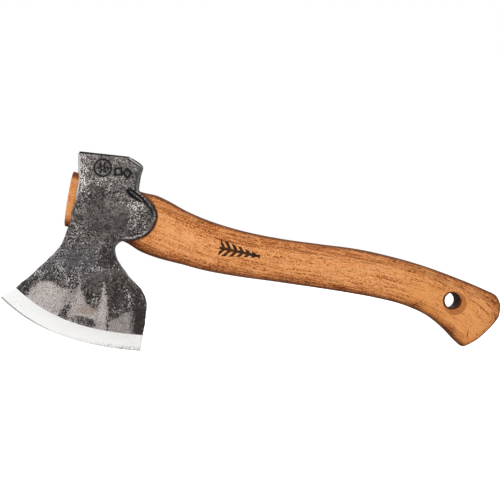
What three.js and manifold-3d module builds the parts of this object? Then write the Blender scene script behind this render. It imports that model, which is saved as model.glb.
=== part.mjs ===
// Carving hatchet: a forged, bearded steel head on a curved hickory handle, held by a wooden wedge in a saw
// kerf and by a three-legged steel wedge driven across it. Millimetres.
// +X runs from the head towards the knob, +Z from the cutting edge up to the poll, Y across the thickness.
// Every outline is drawn about the middle of the eye, in the stance where the heel of the edge and the toe of
// the knob touch the floor; standOnFloor then sets the whole part down on z = 0.

import * as THREE from "three";
import { mergeVertices } from "three/addons/utils/BufferGeometryUtils.js";
import Module from "manifold-3d";

const wasm = await Module();
wasm.setup();

// ---------- Driving dimensions ----------

// Eye, the slot through the head that takes the handle
const EYE_HEIGHT = 42;
const EYE_WIDTH = 20;
const EYE_SLOPE = 16.5; // degrees that the eye's axis falls towards the knob
const EYE_CLEARANCE = 0.3; // between the tenon and the eye, all round

// Head
const POLL_RISE = 24.6; // steel above the eye, up to the poll's face
const HEAD_LENGTH = 46; // along the handle, at the eye
const LOBE_REACH = 39; // from the eye's middle to the tips of the two side lobes
const LOBE_WALL = 2.2; // steel of a lobe at its rim, outside the handle
const BEARD_DROP = 9; // steel below the eye, down to the notch behind the beard
const BLADE_DROP = 80; // from that notch down to the heel of the edge
const EDGE_REACH = 84; // from the eye's middle forward to the toe of the edge
const HEEL_REACH = 24; // from the eye's middle back to the heel of the edge
const TOE_RISE = 43; // how far the toe stands above the heel
const EDGE_BOW = 10.8; // sag of the curved edge below its own chord
const BEVEL_WIDTH = 12.5; // of the ground band along the edge
const BEVEL_HALF = 2.9; // half the steel's thickness where the bevel starts
const EDGE_HALF = 0.15; // half the flat left along the cutting edge
const POLL_HALF = 13.5; // half the poll's thickness
const CHEEK_HALF = 16; // half the head's thickness over the eye
const HEAD_CHAMFER = 1.4; // broken corners round the head's sides

// Handle
const HANDLE_LENGTH = 303; // from the eye's middle to the end of the knob
const GRIP_DEPTH = 34; // of the grip, seen from the side
const KNOB_TOE_DROP = 109.2; // from the eye's middle down to the knob's lowest point
const GRIP_HALF = 11.5; // half the grip's thickness
const KNOB_HALF = 12.5; // half the knob's thickness
const OVAL_POWER = 2.5; // 2 is an ellipse; more flattens the sides
const TENON_PROUD = 6.3; // how far the tenon stands out of the head
const FACE_LEAN = 10.2; // degrees that the head's front face and the tenon's end lean

// Lanyard hole
const BORE_DIAMETER = 11.8;
const BORE_TO_END = 35.6; // from the hole's middle to the end of the knob, along the knob's middle line
const BORE_TO_BACK = 1.4; // from that line towards the handle's back
const BORE_FLARE = 0.9; // widening of the hole at both mouths

// Wooden wedge, in the kerf along the eye's long axis
const WEDGE_LENGTH = 36;
const WEDGE_THICKNESS = 5;
const WEDGE_TIP = 1;
const WEDGE_CLEARANCE = 0.3;

// Three-legged steel wedge
const SPIDER_LEGS = 3;
const SPIDER_LEG_LENGTH = 7.5;
const SPIDER_THICKNESS = 2.2;
const SPIDER_TIP = 0.5;
const SPIDER_DEPTH = 16;
const SPIDER_PROUD = 0.5;
const SPIDER_CLEARANCE = 0.3;

// Fineness of the surfaces
const STEPS_PER_SPAN = 3; // rows between two drawn rows
const HEAD_COLUMNS = 14;
const HANDLE_COLUMNS = 12;
const BORE_SEGMENTS = 36;

// ---------- Materials ----------

const forgedSteel = new THREE.MeshStandardMaterial({ color: 0x55524f, roughness: 0.5, metalness: 0.85 });
const hickory = new THREE.MeshStandardMaterial({ color: 0xc07c46, roughness: 0.55, metalness: 0 });
const paleWood = new THREE.MeshStandardMaterial({ color: 0xb98a5c, roughness: 0.7, metalness: 0 });
const plainSteel = new THREE.MeshStandardMaterial({ color: 0x7d7b78, roughness: 0.4, metalness: 0.9 });

// ---------- Curves and solids ----------

const sine = Math.sin(THREE.MathUtils.degToRad(EYE_SLOPE));
const cosine = Math.cos(THREE.MathUtils.degToRad(EYE_SLOPE));

// [x, z] of a point given by its distance along the eye's axis and its height above it.
function alongEye(along, above) {
  return [along * cosine + above * sine, above * cosine - along * sine];
}

// A smooth curve through [x, z] points. Its parameter takes equal steps from point to point.
function smoothCurve(points) {
  const corners = points.map(([x, z]) => new THREE.Vector3(x, 0, z));
  return new THREE.CatmullRomCurve3(corners, false, "centripetal");
}

// A smooth function of 0 to 1 through equally spaced values.
function smoothValue(values) {
  const corners = values.map((value) => new THREE.Vector3(value, 0, 0));
  const curve = new THREE.CatmullRomCurve3(corners, false, "catmullrom", 0.5);
  return (t) => curve.getPoint(t).x;
}

// Drawn rows become a function that gives the row at t, from 0 at the first to 1 at the last.
function rowsThrough(drawn) {
  const first = smoothCurve(drawn.map(({ from }) => from));
  const second = smoothCurve(drawn.map(({ to }) => to));
  const half = smoothValue(drawn.map((each) => each.half));
  const bow = smoothValue(drawn.map((each) => each.bow));
  return (t) => ({ from: first.getPoint(t), to: second.getPoint(t), half: half(t), bow: bow(t) });
}

// The point at share u of a row: on its chord, pushed off it by the bow, a little more near the first end.
const BOW_SKEW = 0.2;
function pointOnRow(row, u) {
  const chord = row.to.clone().sub(row.from);
  const off = new THREE.Vector3(chord.z, 0, -chord.x).normalize();
  const sag = row.bow * 4 * u * (1 - u) * (1 + BOW_SKEW * (1 - 2 * u));
  return row.from.clone().addScaledVector(chord, u).addScaledVector(off, sag);
}

// A closed body from a grid of points whose y is a half thickness: a front sheet at -y, a back sheet at +y,
// and the walls that join them round the grid's rim.
function mirroredBody(grid) {
  const rows = grid.length;
  const columns = grid[0].length;
  const positions = [];
  for (const side of [-1, 1]) {
    for (const row of grid) {
      for (const point of row) positions.push(point.x, side * point.y, point.z);
    }
  }
  const front = (row, column) => row * columns + column;
  const back = (row, column) => rows * columns + row * columns + column;
  const indices = [];
  const quad = (a, b, c, d) => indices.push(a, b, c, a, c, d);
  for (let r = 0; r < rows - 1; r++) {
    for (let c = 0; c < columns - 1; c++) {
      quad(front(r, c), front(r + 1, c), front(r + 1, c + 1), front(r, c + 1));
      quad(back(r, c), back(r, c + 1), back(r + 1, c + 1), back(r + 1, c));
    }
    quad(front(r, 0), back(r, 0), back(r + 1, 0), front(r + 1, 0));
    quad(front(r + 1, columns - 1), back(r + 1, columns - 1), back(r, columns - 1), front(r, columns - 1));
  }
  for (let c = 0; c < columns - 1; c++) {
    quad(front(0, c), front(0, c + 1), back(0, c + 1), back(0, c));
    quad(front(rows - 1, c + 1), front(rows - 1, c), back(rows - 1, c), back(rows - 1, c + 1));
  }
  const geometry = new THREE.BufferGeometry();
  geometry.setAttribute("position", new THREE.Float32BufferAttribute(positions, 3));
  geometry.setIndex(indices);
  return geometry;
}

// The geometry as a manifold-3d solid, with shared vertices merged and collapsed triangles left out.
function solidOf(geometry) {
  const plain = geometry.clone();
  plain.deleteAttribute("normal");
  plain.deleteAttribute("uv");
  const merged = mergeVertices(plain, 1e-4);
  const kept = [];
  for (let i = 0; i < merged.index.count; i += 3) {
    const [a, b, c] = [0, 1, 2].map((k) => merged.index.getX(i + k));
    if (a !== b && b !== c && c !== a) kept.push(a, b, c);
  }
  const vertProperties = merged.attributes.position.array;
  return new wasm.Manifold(new wasm.Mesh({ numProp: 3, vertProperties, triVerts: new Uint32Array(kept) }));
}

// The solid as a named three.js mesh.
function meshOf(name, solid, material) {
  const { vertProperties, triVerts } = solid.getMesh();
  const geometry = new THREE.BufferGeometry();
  geometry.setAttribute("position", new THREE.BufferAttribute(new Float32Array(vertProperties), 3));
  geometry.setIndex(new THREE.BufferAttribute(new Uint32Array(triVerts), 1));
  geometry.computeVertexNormals();
  const mesh = new THREE.Mesh(geometry, material);
  mesh.name = name;
  return mesh;
}

// ---------- Head ----------

// One drawn row: its two end points as [x, z], its half thickness, and how far it bows off its chord.
const row = (from, to, half, bow = 0) => ({ from, to, half, bow });

// Rows run across the head from its front face (towards the toe) to its rear face (towards the knob), and
// follow each other from the poll down to the cutting edge. Below the eye they hang from its lower side.
function headRows() {
  const eyeTop = EYE_HEIGHT / 2;
  const eyeFoot = -EYE_HEIGHT / 2;
  const poll = eyeTop + POLL_RISE;
  const notch = eyeFoot - BEARD_DROP;
  const heel = notch - BLADE_DROP;
  const toe = heel + TOE_RISE;
  const rear = HEAD_LENGTH / 2;
  const front = -HEAD_LENGTH / 2;
  const shoulder = front - 8; // front face where it leaves the eye
  const throat = LOBE_REACH - 34.5; // rear face at the notch
  const rise = notch - toe; // height of the blade's front curve
  const reach = EDGE_REACH + shoulder; // how far that curve sweeps forward
  const drop = notch - heel; // height of the blade's rear curve
  const half = (share) => THREE.MathUtils.lerp(CHEEK_HALF, BEVEL_HALF, share);
  const frontCurve = (out, down) => [shoulder - reach * out, notch - rise * down];
  const rearCurve = (x, down) => [x, notch - drop * down];
  return [
    row([front + 2.8, poll - 1], [rear - 3.7, poll - 6], POLL_HALF),
    row([front + 2.5, poll - 9.6], [rear + 4.3, poll - 12], POLL_HALF + 0.4),
    row([front + 2.2, eyeTop + 5], [rear + 2.3, eyeTop + 3], half(0.12)),
    row([front + 1.5, eyeTop - 3], [rear + 1.9, eyeTop - 6], half(0.06)),
    row([front + 0.6, eyeTop * 0.6], [LOBE_REACH - 5.8, eyeTop * 0.3], half(0.02)),
    row([front - 0.3, eyeTop * 0.33], [LOBE_REACH - 2, 0.8], CHEEK_HALF),
    row([front - 1.5, eyeTop * 0.07], [LOBE_REACH, -6.3], CHEEK_HALF),
    row([front - 2.9, eyeFoot * 0.17], [LOBE_REACH - 2.3, eyeFoot * 0.65], half(0.02)),
    row([front - 4.6, eyeFoot * 0.44], [LOBE_REACH - 8.8, eyeFoot + 0.5], half(0.06)),
    row([front - 6.5, eyeFoot * 0.69], [LOBE_REACH - 19, eyeFoot - 2.9], half(0.12)),
    row([shoulder, eyeFoot * 0.9], [throat + 4, eyeFoot - 4.3], half(0.2)),
    row([shoulder - 2.4, eyeFoot - 3], [throat, notch], half(0.3)),
    row(frontCurve(0.14, 0.02), rearCurve(throat + 2.6, 0.115), half(0.44)),
    row(frontCurve(0.28, 0.23), rearCurve(throat + 8.8, 0.245), half(0.58)),
    row(frontCurve(0.44, 0.42), rearCurve(HEEL_REACH + 0.4, 0.39), half(0.71), 2),
    row(frontCurve(0.57, 0.57), rearCurve(HEEL_REACH + 5, 0.525), half(0.82), 4.5),
    row(frontCurve(0.68, 0.68), rearCurve(HEEL_REACH + 4.5, 0.68), half(0.91), 7.3),
    row(
      [-EDGE_REACH + BEVEL_WIDTH, toe + BEVEL_WIDTH * 0.61],
      [HEEL_REACH + BEVEL_WIDTH * 0.18, heel + BEVEL_WIDTH],
      BEVEL_HALF,
      EDGE_BOW - 1,
    ),
    row([-EDGE_REACH, toe], [HEEL_REACH, heel], EDGE_HALF, EDGE_BOW),
  ];
}

// The head's cheeks are a little crowned, and thinner towards the front and rear faces.
const CROWN = 0.1;

function headGrid() {
  const drawn = headRows();
  const rowAt = rowsThrough(drawn);
  const spans = drawn.length - 1;
  const grid = [];
  for (let step = 0; step <= spans * STEPS_PER_SPAN; step++) {
    const t = step / (spans * STEPS_PER_SPAN);
    const row = rowAt(t);
    // The bevel is a flat grind, so its rows thin in a straight line and the last span is one step.
    const ground = t * spans - (spans - 1);
    if (ground > 0 && ground < 1) continue;
    const width = row.from.distanceTo(row.to);
    const inset = HEAD_CHAMFER / width;
    const shares = [0];
    for (let k = 0; k <= HEAD_COLUMNS; k++) shares.push(inset + ((1 - 2 * inset) * k) / HEAD_COLUMNS);
    shares.push(1);
    grid.push(
      shares.map((u) => {
        const point = pointOnRow(row, u);
        const crowned = row.half * (1 - CROWN * Math.abs(2 * u - 1) ** 3);
        const chamfer = u === 0 || u === 1 ? Math.min(HEAD_CHAMFER, crowned * 0.35) : 0;
        point.y = crowned - chamfer;
        return point;
      }),
    );
  }
  return grid;
}

// ---------- Handle ----------

// Where the tenon's end cut crosses a line at the given height above the eye's axis, along that axis.
const FACE_SETBACK = 1.7; // of the front face, level with the eye's middle, from half the head's length
function tenonEnd(height) {
  const lean = Math.tan(THREE.MathUtils.degToRad(FACE_LEAN));
  const face = -HEAD_LENGTH / 2 - FACE_SETBACK - TENON_PROUD;
  return (face - height * (sine - cosine * lean)) / (cosine + sine * lean);
}

// How many of the drawn rows make the knob.
const KNOB_ROWS = 5;

// Rows cross the handle between its belly and its back, and follow each other from the tenon's end to the
// knob. The grip's stations are spaced along its length; the knob's last rows turn round its end.
function handleRows() {
  const tenon = EYE_HEIGHT / 2;
  const tenonHalf = EYE_WIDTH / 2;
  const spread = 0.4; // the wedges open the tenon this much at its end
  const wristHalf = CHEEK_HALF * (1 - CROWN) - LOBE_WALL - EYE_CLEARANCE;
  const wrist = LOBE_REACH - 0.7; // where the wrist starts, at the lobes' tips
  const end = HANDLE_LENGTH;
  const toe = -KNOB_TOE_DROP;
  // A row of the grip: its back stands at a share of the run from the wrist to the end, and its belly lags
  // behind; extra is what its half depth adds to the grip's.
  const grip = (share, middle, extra, half) => {
    const x = wrist + (end - wrist) * share;
    const lag = 6 - 12 * share + 33 * share ** 2;
    return row([x - lag, middle - GRIP_DEPTH / 2 - extra], [x, middle + GRIP_DEPTH / 2 + extra], half);
  };
  const endRow = [-tenon - spread, tenon + spread].map((height) => alongEye(tenonEnd(height), height));
  return [
    row(...endRow, tenonHalf + spread),
    row(alongEye(-10, -tenon), alongEye(-10, tenon), tenonHalf),
    row(alongEye(8, -tenon + 0.4), alongEye(12, tenon - 0.4), tenonHalf),
    row(alongEye(20.2, -tenon + 0.3), alongEye(23.4, tenon - 0.7), (tenonHalf + wristHalf) / 2),
    row(below(wrist - 13.3, 3.5), above(wrist, -0.2), wristHalf),
    row(below(wrist - 0.3, 4.8), above(wrist + 8.6, -1.7), wristHalf + 0.3),
    grip(0.09, -22.75, 3.45, wristHalf + 0.5),
    grip(0.155, -28.95, 2.15, wristHalf + 0.3),
    grip(0.25, -35.4, 0.6, GRIP_HALF + 0.3),
    grip(0.364, -40.85, -0.45, GRIP_HALF),
    grip(0.477, -45.35, -0.45, GRIP_HALF),
    grip(0.59, -49.85, -0.35, GRIP_HALF),
    grip(0.69, -55.3, -1.2, GRIP_HALF + 0.2),
    grip(0.778, -61.5, -2, GRIP_HALF + 0.5),
    row([end - 57, toe + 24.2], [end - 32, toe + 52.5], KNOB_HALF - 0.2),
    row([end - 44.4, toe + 13.8], [end - 10.5, toe + 43.2], KNOB_HALF),
    row([end - 35.6, toe + 4.4], [end - 2.9, toe + 39], KNOB_HALF - 0.3),
    row([end - 29.6, toe], [end + 0.3, toe + 31.7], KNOB_HALF - 1.5, 0.6),
    row([end - 22.6, toe + 2.6], [end - 0.8, toe + 23.2], KNOB_HALF - 3.5, 1),
  ];
}

// A point at x that hangs under the line of the eye's lower side, or stands over that of its upper side.
const below = (x, hang) => [x, (-EYE_HEIGHT / 2 - x * sine) / cosine - hang];
const above = (x, stand) => [x, (EYE_HEIGHT / 2 - x * sine) / cosine + stand];

// The handle's surface, grown outwards by grow. With a first and last row given, only that stretch is made,
// and reach carries its first row further out along the eye's axis.
function handleGrid({ grow = 0, last, reach = 0 } = {}) {
  const drawn = handleRows();
  const rowAt = rowsThrough(drawn);
  const spans = drawn.length - 1;
  const stop = (last ?? spans) * STEPS_PER_SPAN;
  const grid = [];
  for (let step = 0; step <= stop; step++) {
    const row = rowAt(step / (spans * STEPS_PER_SPAN));
    const out = row.to.clone().sub(row.from).setLength(grow);
    row.from.sub(out);
    row.to.add(out);
    grid.push(ovalRow(row, row.half + grow));
  }
  if (reach) {
    const [x, z] = alongEye(-reach, 0);
    grid.unshift(grid[0].map((point) => new THREE.Vector3(point.x + x, point.y, point.z + z)));
  }
  return grid;
}

// Points across one row, with the half thickness of a flattened oval.
function ovalRow(row, half) {
  const points = [];
  for (let k = 0; k <= HANDLE_COLUMNS; k++) {
    const u = (1 - Math.cos((Math.PI * k) / HANDLE_COLUMNS)) / 2;
    const point = pointOnRow(row, u);
    const rim = k === 0 || k === HANDLE_COLUMNS;
    point.y = rim ? 0 : half * (1 - Math.abs(2 * u - 1) ** OVAL_POWER) ** (1 / OVAL_POWER);
    points.push(point);
  }
  return points;
}

// ---------- Lanyard hole ----------

// A spool turned about Y: the bore, widening to a mouth on each side of the knob.
function lanyardBore() {
  const radius = BORE_DIAMETER / 2;
  const mouth = KNOB_HALF - BORE_FLARE;
  const beyond = KNOB_HALF + 5;
  const profile = [
    [0, -beyond],
    [radius + BORE_FLARE + 5, -beyond],
    [radius, -mouth],
    [radius, mouth],
    [radius + BORE_FLARE + 5, beyond],
    [0, beyond],
  ].map(([r, y]) => new THREE.Vector2(r, y));
  const spool = new THREE.LatheGeometry(profile, BORE_SEGMENTS);
  const middle = ({ from, to }) => new THREE.Vector2((from[0] + to[0]) / 2, (from[1] + to[1]) / 2);
  const rows = handleRows();
  const end = middle(rows.at(-1));
  const inward = middle(rows.at(-KNOB_ROWS)).sub(end).normalize();
  const centre = end.clone().addScaledVector(inward, BORE_TO_END);
  spool.translate(centre.x + inward.y * BORE_TO_BACK, 0, centre.y - inward.x * BORE_TO_BACK);
  return solidOf(spool);
}

// ---------- Wedges ----------

// A tapered slab along the eye's axis, thick end flush with the tenon's end, tall enough to cross the tenon.
function wedgeSlab(grow) {
  const start = tenonEnd(0) - 10; // the slab runs past the end and is trimmed by the tenon
  const tip = tenonEnd(0) + WEDGE_LENGTH + grow;
  const thick = WEDGE_THICKNESS / 2 + grow + ((WEDGE_THICKNESS - WEDGE_TIP) / 2) * (10 / WEDGE_LENGTH);
  const thin = WEDGE_TIP / 2 + grow;
  const outline = new THREE.Shape([
    new THREE.Vector2(start, -thick),
    new THREE.Vector2(tip, -thin),
    new THREE.Vector2(tip, thin),
    new THREE.Vector2(start, thick),
  ]);
  const height = EYE_HEIGHT + 20;
  const slab = new THREE.ExtrudeGeometry(outline, { depth: height, bevelEnabled: false });
  slab.translate(0, 0, -height / 2);
  slab.rotateY(THREE.MathUtils.degToRad(EYE_SLOPE));
  return solidOf(slab);
}

// Outline of a star of legs seen along the way it is driven, as [y, z] points, two corners to a leg's end
// and one where neighbouring legs meet.
function spiderOutline(length, thickness) {
  const points = [];
  const crotch = thickness / 2 / Math.sin(Math.PI / SPIDER_LEGS);
  for (let leg = 0; leg < SPIDER_LEGS; leg++) {
    const angle = Math.PI / 2 + (leg * 2 * Math.PI) / SPIDER_LEGS;
    const along = new THREE.Vector2(Math.cos(angle), Math.sin(angle));
    const across = new THREE.Vector2(-along.y, along.x).multiplyScalar(thickness / 2);
    const end = along.clone().multiplyScalar(length);
    const between = angle + Math.PI / SPIDER_LEGS;
    points.push(end.clone().sub(across), end.clone().add(across));
    points.push(new THREE.Vector2(Math.cos(between), Math.sin(between)).multiplyScalar(crotch));
  }
  return points;
}

// The steel wedge: the star's outline, tapering from its struck face to its sharp end. It is driven square to
// the tenon's end. Grown, it is the pocket that the wood gives it, open past the struck face.
function steelSpider(grow) {
  const face = spiderOutline(SPIDER_LEG_LENGTH + grow, SPIDER_THICKNESS + 2 * grow);
  const tip = spiderOutline(SPIDER_LEG_LENGTH * 0.75 + grow, SPIDER_TIP + 2 * grow);
  const rings = [
    { at: -SPIDER_PROUD, outline: face },
    { at: SPIDER_DEPTH + grow, outline: tip },
  ];
  if (grow) rings.unshift({ at: -SPIDER_PROUD - 5, outline: face });
  const positions = [];
  for (const { at, outline } of rings) {
    for (const point of outline) positions.push(at, point.x, point.y);
  }
  const count = face.length;
  const indices = [];
  for (let ring = 0; ring < rings.length - 1; ring++) {
    const near = ring * count;
    const far = near + count;
    for (let i = 0; i < count; i++) {
      const next = (i + 1) % count;
      indices.push(near + i, near + next, far + next, near + i, far + next, far + i);
    }
  }
  const lastRing = (rings.length - 1) * count;
  for (const [a, b, c] of THREE.ShapeUtils.triangulateShape(face, [])) {
    indices.push(c, b, a);
    indices.push(lastRing + a, lastRing + b, lastRing + c);
  }
  const star = new THREE.BufferGeometry();
  star.setAttribute("position", new THREE.Float32BufferAttribute(positions, 3));
  star.setIndex(indices);
  star.rotateY(THREE.MathUtils.degToRad(FACE_LEAN));
  const [x, z] = alongEye(tenonEnd(0), 0);
  star.translate(x, 0, z);
  return solidOf(star);
}

// ---------- Assembly ----------

// Moves the group so that its box is centred on x = y = 0 and stands on z = 0.
function standOnFloor(group) {
  const box = new THREE.Box3().setFromObject(group);
  const centre = box.getCenter(new THREE.Vector3());
  group.position.set(-centre.x, -centre.y, -box.min.z);
}

const handleBlank = solidOf(mirroredBody(handleGrid()));
const eyeCutter = solidOf(mirroredBody(handleGrid({ grow: EYE_CLEARANCE, last: 7, reach: 20 })));
const headBlank = solidOf(mirroredBody(headGrid()));
const spiderPocket = steelSpider(SPIDER_CLEARANCE);

const head = headBlank.subtract(eyeCutter);
const kerf = wedgeSlab(WEDGE_CLEARANCE);
const handle = handleBlank.subtract(kerf).subtract(spiderPocket).subtract(lanyardBore());
const woodenWedge = handleBlank.intersect(wedgeSlab(0)).subtract(spiderPocket);

const hatchet = new THREE.Group();
hatchet.add(meshOf("axe_head", head, forgedSteel));
hatchet.add(meshOf("handle", handle, hickory));
hatchet.add(meshOf("eye_wedge", woodenWedge, paleWood));
hatchet.add(meshOf("steel_wedge", steelSpider(0), plainSteel));
standOnFloor(hatchet);

export default hatchet;
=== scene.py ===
"""Carving hatchet: a forged, bearded head on a curved hickory handle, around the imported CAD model.

Shapes are worked out in millimetres about the middle of the eye, with +X from the head towards the knob, +Y
through the thickness and +Z from the cutting edge up to the poll. in_frame() turns them into the frame's
metres.
"""

import math
from functools import reduce

import bmesh
import bpy
import numpy as np
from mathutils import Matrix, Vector


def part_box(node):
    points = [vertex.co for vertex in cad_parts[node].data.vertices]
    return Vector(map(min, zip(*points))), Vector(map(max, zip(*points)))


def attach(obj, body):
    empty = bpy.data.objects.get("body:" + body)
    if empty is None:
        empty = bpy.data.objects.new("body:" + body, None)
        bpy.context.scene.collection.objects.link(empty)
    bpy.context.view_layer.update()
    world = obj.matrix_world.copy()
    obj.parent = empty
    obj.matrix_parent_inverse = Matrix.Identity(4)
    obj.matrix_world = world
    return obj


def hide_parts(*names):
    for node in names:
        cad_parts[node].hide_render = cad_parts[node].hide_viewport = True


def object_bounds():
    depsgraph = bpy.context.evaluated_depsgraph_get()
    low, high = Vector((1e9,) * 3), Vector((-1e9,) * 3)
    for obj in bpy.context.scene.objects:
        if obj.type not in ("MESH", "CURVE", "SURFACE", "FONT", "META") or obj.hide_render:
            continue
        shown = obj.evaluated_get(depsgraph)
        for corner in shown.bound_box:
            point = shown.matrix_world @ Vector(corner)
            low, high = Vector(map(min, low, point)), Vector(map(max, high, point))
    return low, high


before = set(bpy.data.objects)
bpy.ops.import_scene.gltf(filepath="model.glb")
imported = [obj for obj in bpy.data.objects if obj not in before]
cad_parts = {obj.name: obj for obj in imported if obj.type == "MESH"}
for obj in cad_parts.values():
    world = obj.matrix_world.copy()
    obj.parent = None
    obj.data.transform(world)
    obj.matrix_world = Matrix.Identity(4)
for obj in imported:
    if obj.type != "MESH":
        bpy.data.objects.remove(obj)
cad_box = [list(corner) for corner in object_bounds()]

bl_info = {
    "name": "Carving Hatchet",
    "version": (1, 0, 0),
    "blender": (4, 5, 0),
    "location": "View3D > Sidebar > Hatchet",
    "description": "Builds a forged carving hatchet with an oiled hickory handle",
    "category": "Object",
}

BODY = "root"


# ---------------------------------------------------------------- sizes and colours


def number(name, description, default, **kind):
    return bpy.props.FloatProperty(name=name, description=description, default=default, **kind)


def length(name, description, default):
    return number(name, description, default, min=0, unit="LENGTH")


def tilt(name, description, degrees):
    return number(name, description, math.radians(degrees), subtype="ANGLE")


def power(name, description, default):
    return number(name, description, default, min=0, unit="POWER")


def colour(name, description, default):
    return bpy.props.FloatVectorProperty(
        name=name, description=description, default=default, size=3, min=0, max=1, subtype="COLOR"
    )


class HatchetSizes(bpy.types.PropertyGroup):
    """Sizes of the head and the handle, in metres."""

    eye_height: length("Eye height", "Long side of the slot that takes the handle", 0.042)
    eye_width: length("Eye width", "Short side of the slot that takes the handle", 0.020)
    eye_slope: tilt("Eye slope", "How far the eye falls towards the knob", 16.5)
    eye_clearance: length("Eye clearance", "Gap between the eye and the wood", 0.0003)
    head_length: length("Head length", "Length of the head along the handle, at the eye", 0.046)
    poll_rise: length("Poll rise", "Steel above the eye", 0.0246)
    lobe_reach: length("Lobe reach", "From the eye's middle to the tips of the side lobes", 0.039)
    lobe_wall: length("Lobe wall", "Steel of a lobe at its rim", 0.0022)
    beard_drop: length("Beard drop", "Steel below the eye, down to the notch", 0.009)
    blade_drop: length("Blade drop", "From the notch down to the heel of the edge", 0.080)
    edge_reach: length("Edge reach", "From the eye's middle forward to the toe of the edge", 0.084)
    heel_reach: length("Heel reach", "From the eye's middle back to the heel of the edge", 0.024)
    toe_rise: length("Toe rise", "How far the toe stands above the heel", 0.043)
    edge_bow: length("Edge bow", "Sag of the curved edge below its chord", 0.0108)
    bevel_width: length("Bevel width", "Width of the ground band along the edge", 0.0125)
    poll_half: length("Half poll", "Half the poll's thickness", 0.0135)
    cheek_half: length("Half cheeks", "Half the head's thickness over the eye", 0.016)
    bevel_half: length("Half bevel", "Half the steel's thickness where the bevel starts", 0.0029)
    corner: length("Corner radius", "Rounding of the head's long corners", 0.0014)
    handle_length: length("Handle length", "From the eye's middle to the end of the knob", 0.303)
    grip_depth: length("Grip depth", "Depth of the grip, seen from the side", 0.034)
    grip_half: length("Half grip", "Half the grip's thickness", 0.0115)
    knob_half: length("Half knob", "Half the knob's thickness", 0.0125)
    knob_drop: length("Knob drop", "From the eye's middle down to the knob's toe", 0.1092)
    knob_round: length("Knob rounding", "Rounding of the knob's end", 0.0055)
    tenon_proud: length("Tenon proud", "How far the tenon stands out of the head", 0.0063)
    bore_diameter: length("Hole diameter", "Diameter of the lanyard hole", 0.0118)
    bore_to_end: length("Hole to end", "From the hole's middle to the end of the knob", 0.0356)
    bore_flare: length("Hole flare", "Rounding of the hole's mouths", 0.0009)
    stamp_diameter: length("Stamp diameter", "Diameter of the round stamp on the head", 0.013)


class HatchetColours(bpy.types.PropertyGroup):
    """Colours of the steel and the wood."""

    scale_dark: colour("Dark scale", "Forge scale on the blade and the neck", (0.034, 0.028, 0.026))
    scale_light: colour("Light scale", "Worn forge scale on the poll", (0.30, 0.268, 0.255))
    blued: colour("Blued scale", "Bluish scale on the neck", (0.115, 0.115, 0.135))
    rust: colour("Brown scale", "Brown tint in the scale", (0.085, 0.055, 0.040))
    # Also the painted shade round the lobes, the poll's face, its facet and long corners, and the darker
    # colour in the fold and the stamps.
    soot: colour("Soot", "Dark floor of the fold and the stamps", (0.010, 0.009, 0.009))
    # Also the colour of painted highlights: on rubbed corners, beside the poll's facet and under the lobes.
    chipped: colour("Chipped scale", "Steel that shows where the scale broke off", (0.66, 0.62, 0.60))
    ground_steel: colour("Ground steel", "Patches ground bright on the cheeks", (0.68, 0.61, 0.585))
    heat_tint: colour("Heat tint", "Pinkish brown tint in a ground patch", (0.34, 0.245, 0.20))
    bevel_steel: colour("Bevel steel", "The ground bevel along the edge", (1.0, 0.995, 0.98))
    wood_pale: colour("Pale wood", "Palest lines of the oiled hickory", (0.86, 0.40, 0.155))
    wood_light: colour("Light wood", "Earlywood of the oiled hickory", (0.72, 0.265, 0.080))
    wood_mid: colour("Middle wood", "Latewood of the oiled hickory", (0.42, 0.130, 0.036))
    # Also, darker still, the painted shade on the handle's corners, in its hole, under the lobes and round
    # the knob's end.
    wood_dark: colour("Dark wood", "Dark streaks and pores", (0.115, 0.024, 0.006))
    wood_gold: colour("Golden wood", "Yellower wood at the knob", (0.82, 0.34, 0.085))
    burn: colour("Burnt wood", "The burnt mark on the grip", (0.004, 0.003, 0.003))
    floor: colour("Floor", "The studio floor", (0.86, 0.86, 0.855))


class HatchetStudio(bpy.types.PropertyGroup):
    """Camera and light."""

    camera_distance: length("Camera distance", "From the camera to the hatchet's middle plane", 0.945)
    camera_aside: length("Camera aside", "How far the camera stands right of the hatchet's middle", 0.0004)
    field_width: length("Field width", "Width that the camera sees at the middle plane", 0.3878)
    camera_roll: tilt("Camera roll", "Turn of the camera about its line of sight", 0.7)
    key_power: power("Key power", "Power of the large light at the upper left", 13)
    fill_power: power("Fill power", "Power of the light at the right", 3)
    back_power: power("Back power", "Power of the light behind the hatchet", 8)
    top_power: power("Top power", "Power of the light above the hatchet", 4)
    sky: number("Surround", "Brightness of the surround as a light", 0.28, min=0)


class Sizes:
    """The sizes of HatchetSizes in millimetres, the slope in radians, and what follows from them."""

    def __init__(self, group):
        for name in HatchetSizes.__annotations__:
            turned = group.bl_rna.properties[name].unit == "ROTATION"
            setattr(self, name, getattr(group, name) * (1 if turned else 1000))
        self.eye_top = self.eye_height / 2
        self.eye_foot = -self.eye_height / 2
        self.notch = self.eye_foot - self.beard_drop
        self.heel = self.notch - self.blade_drop
        self.sine = math.sin(self.eye_slope)
        self.cosine = math.cos(self.eye_slope)
        head_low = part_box("axe_head")[0]
        self.eye_middle = np.array([head_low.x * 1000 + self.edge_reach, 0, head_low.z * 1000 - self.heel])

    def in_frame(self, points):
        """Points about the eye's middle in millimetres, as points of the frame in metres."""
        return (np.asarray(points) + self.eye_middle) / 1000

    def along_eye(self, along, above):
        """[x, z] of a point by its distance along the eye's axis and its height above it."""
        return [along * self.cosine + above * self.sine, above * self.cosine - along * self.sine]


def sizes():
    return Sizes(bpy.context.scene.hatchet_sizes)


def colours():
    return bpy.context.scene.hatchet_colours


# ---------------------------------------------------------------- curves, rings and meshes

TINY = 1e-6  # keeps a quotient finite where two points meet
FINE_READS = 40  # places read on each span of a path to measure it


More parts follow.
